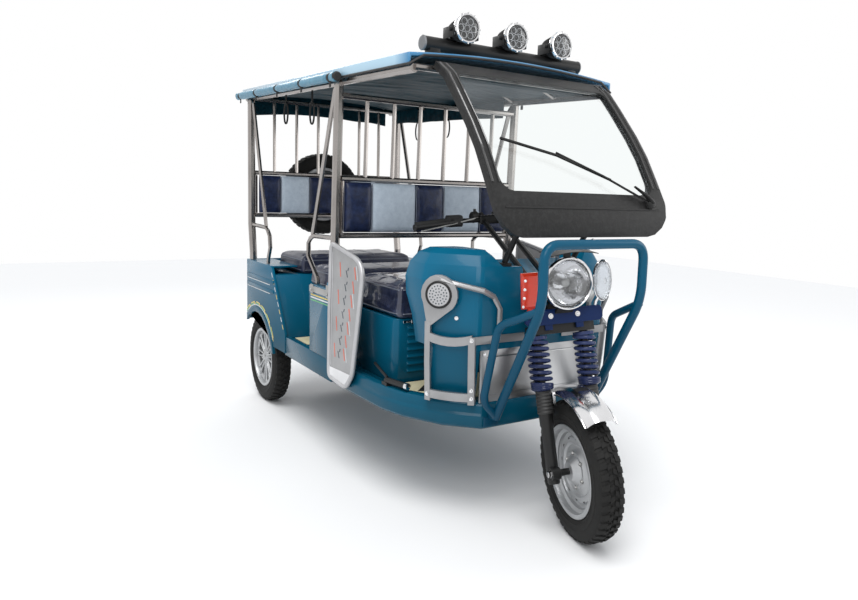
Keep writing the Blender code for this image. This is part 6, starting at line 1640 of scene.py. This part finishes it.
# %% Floodlights
BAR_Y = -0.470
BAR_Z = roof_under(BAR_Y) + 0.014 + 0.026 + 0.004
bar_shapes = [rod(-0.370, 0.370, 0.026, 32, place(0, BAR_Y, BAR_Z))]
cap_ends, bowls, bezels, cups, lenses, knobs = [], [], [], [], [], []
for side in (-1, 1):
    cap_ends.append(turned([(0.0, 0.0), (0.0, 0.027), (0.004, 0.0275), (0.007, 0.024), (0.008, 0.0)], 28,
        place(side * 0.370, BAR_Y, BAR_Z), (side, 0, 0)))
    low = roof_under(BAR_Y, 0.306) + 0.0148
    bar_shapes.append(block_at((side * 0.330 - 0.022, side * 0.330 + 0.022), (BAR_Y - 0.020, BAR_Y + 0.020),
        (low, BAR_Z), 0.002))
for x in (-0.225, 0.0, 0.225):
    centre = place(x, BAR_Y - 0.070, BAR_Z + 0.060)
    ribs = [(-0.004, 0.0), (-0.004, 0.0470), (-0.016, 0.0490)]
    for k in range(7):
        ribs += [(-0.020 - 0.0085 * k, 0.0478 - 0.0016 * k), (-0.022 - 0.0085 * k, 0.0420 - 0.0014 * k),
            (-0.0262 - 0.0085 * k, 0.0418 - 0.0014 * k)]
    ribs += [(-0.080, 0.036), (-0.090, 0.032), (-0.092, 0.0)]
    bowls.append(turned(ribs, 40, centre, FORWARD))
    bezels.append(turned([(-0.016, 0.0440), (-0.016, 0.0515), (-0.010, 0.0530), (0.001, 0.0530),
        (0.005, 0.0505), (0.004, 0.0455), (-0.002, 0.0440)], 48, centre, FORWARD, ring=True))
    for k in range(12):
        a = math.tau * k / 12
        nub = centre + Vector((math.cos(a) * 0.0530, -0.001, math.sin(a) * 0.0530))
        bezels.append(turned([(-0.006, 0.0), (-0.006, 0.0032), (0.004, 0.0032), (0.005, 0.0)], 10, nub,
            FORWARD))
    for k in range(7):
        a = math.tau * k / 6
        reach = 0.0 if k == 6 else 0.0275
        spot_at = centre + Vector((math.cos(a) * reach, 0.003, math.sin(a) * reach))
        cups.append(turned([(-0.006, 0.0), (-0.006, 0.0125), (0.0, 0.0128), (0.0, 0.0115), (-0.004, 0.0060),
            (-0.0045, 0.0)], 20, spot_at, FORWARD))
    lenses.append(turned([(0.0045, 0.0), (0.0040, 0.020), (0.0025, 0.036), (0.0005, 0.0452),
        (-0.0015, 0.0452), (0.0005, 0.036), (0.0020, 0.020), (0.0025, 0.0)], 40, centre, FORWARD))
    bar_shapes.append(block_at((x - 0.055, x + 0.055), (BAR_Y - 0.016, BAR_Y + 0.016),
        (BAR_Z + 0.0245, BAR_Z + 0.0275), 0.001))
    for side in (-1, 1):
        ear = x + side * 0.0545
        bar_shapes.append(block_at((ear - 0.0018, ear + 0.0018), (BAR_Y - 0.060, BAR_Y + 0.010),
            (BAR_Z + 0.025, BAR_Z + 0.066), 0.0008))
        knobs.append(turned([(0.0, 0.0), (0.0, 0.0075), (0.009, 0.0075), (0.010, 0.005), (0.010, 0.0)], 14,
            place(x + side * 0.0560, BAR_Y - 0.045, BAR_Z + 0.054), (side, 0, 0)))
    bar_shapes.append(rod(-0.055, 0.055, 0.0052, 12, place(x, BAR_Y - 0.045, BAR_Z + 0.054)))
lamp_body = nodes["lamp_bar"]["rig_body"]
piece("lamp_bar_tube", lamp_body, black_satin, bar_shapes, ("lamp_bar",))
piece("lamp_bar_caps", lamp_body, grey_casting, cap_ends)
piece("floodlight_bowls", lamp_body, black_plastic_and_painted_shade, bowls)
piece("floodlight_bezels", lamp_body, chrome, bezels)
piece("floodlight_cups", lamp_body, wheel_silver, cups)
piece("floodlight_knobs", lamp_body, black_plastic_and_painted_shade, knobs)
piece("floodlight_lenses", lamp_body, led_lens, lenses)
print("floodlights done")

# %% [markdown]
# The windscreen's moulding has two glossy ridges that run up each side and a dark line across its lower
# panel. Each is a thin bar whose points are found by rays cast at the moulding from the front.
# A ray also finds the wiper's pivot, where a moulded cover hides the foot of its arm.

# %% Windscreen trim and wiper
screen_tree = surface_of(nodes["windscreen_frame"])


def on_screen(x, z):
    """A point of the windscreen frame's outer face."""
    at, normal, index, distance = screen_tree.ray_cast(Vector((x, -3.0, z)), Vector((0, 1, 0)))
    return None if at is None else (at, normal)


trim_shapes = []
for inset, radius in ((0.380, 0.0042), (0.3535, 0.0036)):
    for side in (-1, 1):
        path = []
        for k in range(41):
            z = 1.225 + (1.632 - 1.225) * k / 40
            found = on_screen(side * inset, z)
            if found:
                path.append(found[0] + found[1] * 0.0006)
        if len(path) > 4:
            trim_shapes.append(tube(path, radius, 8))
groove = [on_screen(-0.352 + 0.704 * k / 40, 1.148) for k in range(41)]
groove_bead = tube([found[0] + found[1] * 0.0004 for found in groove if found], 0.0030, 8)
ridge_gloss = satin("ridge_gloss", grey(0.030), 0.16, grain=60.0, lift=0.01, Coat_Weight=0.8,
    Coat_Roughness=0.05)
piece("screen_ridges", nodes["windscreen_frame"]["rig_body"], ridge_gloss, trim_shapes)
piece("screen_groove", nodes["windscreen_frame"]["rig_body"], black_plastic_and_painted_shade, [groove_bead])
pivot = on_screen(0.305, 1.170)
arm_shapes = [turned([(0.0, 0.0), (0.0, 0.021), (0.012, 0.019), (0.020, 0.012), (0.022, 0.0)], 24, pivot[0],
    pivot[1]), tube([pivot[0] + pivot[1] * 0.014, pivot[0] + pivot[1] * 0.016 + Vector((-0.030, 0, 0.022)),
    pivot[0] + pivot[1] * 0.015 + Vector((-0.085, 0.010, 0.055))], [0.013, 0.0105, 0.006], 12, flat=0.55)]
piece("wiper_cover", nodes["wiper"]["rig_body"], black_plastic_and_painted_shade, arm_shapes)
print("ridges", len(trim_shapes))

# %% [markdown]
# The cowl guards are aluminium: a teardrop boss with a round grille in a dark ring, and flat bars held by
# plated bolts. The grille's holes are small dark discs in rings, painted shade where the holes are, each
# placed round the axis by an angle.

# %% Guard bosses and bolts
GUARD_FOOT = Vector((-0.388, -0.610, 0.0))
GUARD_ALONG = Vector((0.6277, -0.7785, 0.0))
GUARD_OUT = Vector((-0.7785, -0.6277, 0.0))


def on_guard(s, out, z):
    """A point on the cowl guard: along it from its rear upright, out from the cowl, and its height."""
    lean = 0.020 * min(1.0, (z - 0.445) / 0.195)
    bulge = 0.016 * max(0.0, 1.0 - ((s - 0.086) / 0.090) ** 2)
    at = GUARD_FOOT + GUARD_ALONG * s + GUARD_OUT * (0.012 + lean + bulge + out)
    return place(at.x, at.y, z)


boss = on_guard(0.046, 0.016, 0.834)
ring_shapes = [turned([(-0.002, 0.0400), (-0.002, 0.0490), (0.0025, 0.0485), (0.0045, 0.0460),
    (0.0040, 0.0410)], 48, boss, GUARD_OUT, ring=True)]
grille_disc = [turned([(-0.002, 0.0), (-0.002, 0.0405), (0.0020, 0.0405), (0.0035, 0.0330), (0.0040, 0.0)],
    48, boss, GUARD_OUT)]
hole_shapes = []
for count, reach in ((1, 0.0), (6, 0.0110), (12, 0.0215), (18, 0.0315)):
    for k in range(count):
        a = math.tau * k / count + reach * 20.0
        at = boss + GUARD_ALONG * (math.cos(a) * reach) + UP * (math.sin(a) * reach) + GUARD_OUT * 0.0034
        hole_shapes.append(rod(-0.001, 0.0009, 0.0026, 8, at, GUARD_OUT))
guard_body = nodes["cowl_guard_right"]["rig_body"]
piece("horn_ring", guard_body, black_satin, both(ring_shapes))
piece("horn_grille", guard_body, pale_casting, both(grille_disc))
# The holes are dark discs on the grille, not openings: painted shade.
piece("horn_holes", guard_body, dark_print_and_hole_shade, both(hole_shapes))
BOLT_SPOTS = ((0.168, 0.681), (0.168, 0.470), (0.004, 0.470), (0.168, 0.500))     # along the guard, height
guard_bolts = bolts_at([on_guard(s, 0.016, z) for s, z in BOLT_SPOTS], GUARD_OUT, 0.0052, 0.004, 0.0080)
recess_at, recess_normal = hit_on("front_cowl", on_guard(0.105, 0.40, 0.752), -GUARD_OUT)
dome = turned([(-0.002, 0.0), (-0.002, 0.0095), (0.002, 0.0095), (0.006, 0.0070), (0.0078, 0.0)], 24,
    recess_at, recess_normal)
piece("guard_bolts", guard_body, chrome, both(guard_bolts + [dome]))
hoop_bolts = bolts_at([place(-0.020, -1.026, 1.0445)], (0, -0.2, 1), 0.006, 0.005, 0.009)
piece("hoop_bolt", nodes["bumper"]["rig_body"], chrome, hoop_bolts)

# %% [markdown]
# Each side guard is a silver plate in a bent tube, with a chrome shoe at its foot. Plain slanted strokes
# in three colours run down the plate. Each stroke is a thin prism that stands on the plate's face.

# %% Side guards
BORDER_X, PLATE_FACE_X = -0.5003, -0.5023
OUTLINE = ((0.040, 0.670), (0.030, 0.962), (-0.288, 0.906), (-0.194, 0.440), (-0.133, 0.376),
    (0.040, 0.386), (0.040, 0.669))
REACHES = (0.030, 0.095, 0.030, 0.030, 0.030)


def rounded(points, reaches):
    """A path with a chosen rounding at each inner corner."""
    out_points = [points[0]]
    for i, reach in enumerate(reaches):
        out_points += smooth_path(points[i:i + 3], reach, 8)[1:-1]
    return out_points


guard_path = rounded([Vector((BORDER_X, y + VEHICLE_Y, z)) for y, z in OUTLINE], REACHES)
side_tubes = [tube(guard_path, 0.0100, 16, closed=True)]
side_plates = [prism([(p.y, p.z) for p in guard_path], "X", PLATE_FACE_X, BORDER_X + 0.002)]
plate_ribs = [tube([place(PLATE_FACE_X, 0.018, 0.440), place(PLATE_FACE_X, 0.010, 0.925)], 0.0030, 8)]
shoe = [(0.030, 0.396), (0.030, 0.432), (-0.176, 0.440), (-0.180, 0.434), (-0.128, 0.386)]
shoes = [prism([(y + VEHICLE_Y, z) for y, z in shoe], "X", PLATE_FACE_X - 0.003, PLATE_FACE_X + 0.001)]


def stroke(y, z, length, width, lean, x=PLATE_FACE_X):
    """A thin slanted stroke on a side face."""
    dy, dz = math.sin(lean) * length / 2, math.cos(lean) * length / 2
    y += VEHICLE_Y
    outline = [(y - dy - width / 2, z - dz), (y - dy + width / 2, z - dz), (y + dy + width / 2, z + dz),
        (y + dy - width / 2, z + dz)]
    return prism(outline, "X", x - 0.0006, x + 0.0003)


warm, cool, pale_bits = [], [], []
for k in range(7):
    z = 0.500 + 0.058 * k
    y = -0.060 - 0.012 * k
    cool.append(stroke(y, z, 0.030, 0.009, math.radians(24)))
    cool.append(stroke(y - 0.013, z + 0.020, 0.016, 0.008, math.radians(-30)))
    warm.append(stroke(y - 0.055 - 0.004 * k, z + 0.010, 0.050, 0.008, math.radians(14)))
    if k % 2 == 0:
        warm.append(stroke(y + 0.040 + 0.004 * k, z + 0.012, 0.060, 0.007, math.radians(8)))
        pale_bits.append(stroke(y - 0.072 - 0.004 * k, z + 0.012, 0.060, 0.004, math.radians(14)))
side_body = nodes["side_guard_right"]["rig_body"]
piece("side_guard_plates", side_body, guard_silver, both(side_plates),
    ("side_guard_right", "side_guard_left"))
piece("side_guard_tubes", side_body, pale_casting, both(side_tubes + plate_ribs))
piece("side_guard_shoes", side_body, chrome, both(shoes))
piece("side_guard_warm", side_body, red_mark, both(warm))
piece("side_guard_dark", side_body, dark_print_and_hole_shade, both(cool))
piece("side_guard_pale", side_body, white_mark, both(pale_bits))

# %% [markdown]
# Coloured tape runs round the wheel arches and down the fender's front edge. Each band is a thin strip.
# On the arch it is cut to an arc about the axle, in short lengths where two colours take turns.


# %% Tape on the fenders
FENDER_X = -0.490
TAPE = (FENDER_X - 0.0008, FENDER_X + 0.0004)     # outer face of a tape, and how far it is sunk


def arc_strip(inner, outer, start_deg, end_deg, steps=10):
    """A band about the rear axle between two radii and two angles."""
    turns = [math.radians(start_deg + (end_deg - start_deg) * k / steps) for k in range(steps + 1)]
    points = [(outer, a) for a in turns] + [(inner, a) for a in reversed(turns)]
    return prism([(REAR_AXLE + VEHICLE_Y + math.cos(a) * r, TYRE_R + math.sin(a) * r) for r, a in points],
        "X", *TAPE)


def flat_strip(y, z, width):
    """A straight level band between two places along the vehicle."""
    near, far = y[0] + VEHICLE_Y, y[1] + VEHICLE_Y
    return prism([(near, z), (far, z), (far, z + width), (near, z + width)], "X", *TAPE)


white_tape = [arc_strip(0.292, 0.297, 48, 150, 30)]
green_tape = [arc_strip(0.299, 0.305, 50 + 17 * k, 61 + 17 * k) for k in range(6)]
yellow_tape = [arc_strip(0.299, 0.305, 61 + 17 * k, 67 + 17 * k) for k in range(6)]
yellow_tape += [arc_strip(0.307, 0.313, 52 + 17 * k, 64 + 17 * k) for k in range(6)]
edge_low, edge_high = Vector((0.649, 0.470)), Vector((0.838, 0.752))
lean = math.atan2((edge_high - edge_low).x, (edge_high - edge_low).y)
for k in range(8):
    at = edge_low.lerp(edge_high, (k + 0.5) / 8)
    target = yellow_tape if k % 2 == 0 else white_tape
    target.append(stroke(at.x, at.y, 0.026, 0.007, lean, FENDER_X))
white_tape += [flat_strip((0.86, 1.245), z, 0.004) for z in (0.676, 0.630)]
for z, target in ((0.706, yellow_tape), (0.694, white_tape), (0.682, green_tape)):
    target.append(flat_strip((0.075, 0.285), z, 0.006))
tape_body = nodes["rear_fender_right"]["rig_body"]
piece("tape_white", tape_body, white_mark, both(white_tape))
piece("tape_green", tape_body, green_mark, both(green_tape))
piece("tape_yellow", tape_body, yellow_mark, both(yellow_tape))

# %% Clamp plates at the foot of the middle posts
clamps = [block_at((-0.4945, -0.4885), (0.058, 0.296), (0.722, 0.750), 0.002),
    block_at((-0.4965, -0.4885), (0.064, 0.100), (0.716, 0.772), 0.003),
    block_at((-0.4965, -0.4885), (0.250, 0.284), (0.716, 0.757), 0.003)]
clamps += bolts_at([place(-0.4967, y, 0.734) for y in (0.082, 0.267)], (-1, 0, 0), 0.005, 0.004, 0.008)
piece("post_clamps", nodes["side_panel_right"]["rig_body"], dull_zinc, both(clamps))

# %% Floor mats
mat_outline = [(-0.394, -0.372), (-0.398, -0.520), (-0.320, -0.655)]
mat_outline += [(-x, y) for x, y in reversed(mat_outline)]
driver_mat = prism([(x, y + VEHICLE_Y) for x, y in mat_outline], "Z", 0.4343, 0.4385)
passenger_mat = block_at((-0.446, 0.446), (0.432, 0.603), (0.4373, 0.4410), 0.0012)
piece("floor_mats", nodes["floor_deck"]["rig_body"], mat_rubber, [driver_mat, passenger_mat])
# A black triangle on the driver's mat by the brake pedal: painted shade.
painted_pedal_shade = prism([(x, y + VEHICLE_Y) for x, y in ((-0.372, -0.500), (-0.300, -0.430), (-0.285, -0.545))],
    "Z", 0.4380, 0.4390)
piece("mat_opening", nodes["floor_deck"]["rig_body"], black_plastic_and_painted_shade, [painted_pedal_shade])

# %% [markdown]
# At the handlebar each grip has its switch box and a lever. They are placed from the CAD grips: the
# grip's long axis is the line from its middle to its farthest point.

# %% Levers and switch boxes
lever_shapes, box_shapes = [], []
for hand in ("right", "left"):
    points = [v.co.copy() for v in nodes[f"grip_{hand}"].data.vertices]
    middle = sum(points, Vector()) / len(points)
    far = max(points, key=lambda p: (p - middle).length)
    along = (far - middle).normalized()
    if (middle + along * 0.1).xy.length > (middle - along * 0.1).xy.length:
        along = -along
    half = (far - middle).length * 0.96
    forward = UP.cross(along).normalized()
    if forward.y > 0:
        forward = -forward
    inner = middle + along * half
    outer = middle - along * half
    box_shapes.append(turned([(0.004, 0.0), (0.004, 0.020), (0.010, 0.0255), (0.030, 0.0255),
        (0.036, 0.019), (0.040, 0.0)], 20, inner, along))
    box_shapes.append(rod(0.046, 0.062, 0.0160, 16, inner, along))
    box_shapes.append(turned([(0.0, 0.0), (0.0, 0.007), (0.014, 0.006), (0.015, 0.0)], 12,
        inner + along * 0.020 + UP * 0.022, UP))
    pivot_at = inner + along * 0.052 + forward * 0.024
    box_shapes.append(tube([inner + along * 0.054, pivot_at], 0.0095, 12))
    lever = smooth_path([pivot_at, inner + forward * 0.044 - along * 0.010,
        middle + forward * 0.050 - UP * 0.006, outer + forward * 0.058 - UP * 0.010], 0.03, 5)
    lever_shapes.append(tube(lever, 0.0056, 10, flat=0.7))
    box_shapes.append(tube([outer + along * 0.001, outer - along * 0.004], [0.0175, 0.0150], 16))
bar_body = nodes["grip_right"]["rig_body"]
piece("brake_levers", bar_body, dull_zinc, lever_shapes)
piece("switch_boxes", bar_body, black_plastic_and_painted_shade, box_shapes)
tip = place(-0.424, -0.515, 0.4655)
piece("pedal_tip", nodes["brake_pedal"]["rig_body"], chrome,
    [turned([(-0.012, 0.0), (-0.012, 0.0131), (0.002, 0.0131), (0.003, 0.0100), (0.003, 0.0)], 20, tip,
    (0.166, -0.986, 0.015))])
print("small parts done")

# %% [markdown]
# Small screws hold the red lamp's lens, in a row down its edge, and four hold the steel front panel. The
# lens stands at a slant, so a ray finds the place and the direction of each screw on it.

# %% Rows of screws
screw_shapes = []
lamp_low, lamp_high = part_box("indicator")
lamp_middle = 0.5 * (lamp_low + lamp_high)
face_from = STEERED.to_3x3() @ Vector((0, 1, 0))
side_from = STEERED.to_3x3() @ Vector((1, 0, 0))
for dz in (-0.045, -0.015, 0.015, 0.045):
    start_at = lamp_middle - face_from * 0.5 - side_from * 0.024 + Vector((0, 0, dz))
    at, normal = hit_on("indicator", start_at, face_from)
    screw_shapes += bolts_at([at], normal, 0.0036, 0.0022, 0.0050)
piece("indicator_screws", nodes["indicator"]["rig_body"], chrome, screw_shapes)
panel_spots = [place(x, -0.7615, z) for x in (-0.256, 0.256) for z in (0.460, 0.624)]
panel_bolts = bolts_at(panel_spots, FORWARD, 0.0042, 0.003, 0.0062)
piece("front_panel_bolts", nodes["front_panel"]["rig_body"], chrome, panel_bolts)
print("screws done")
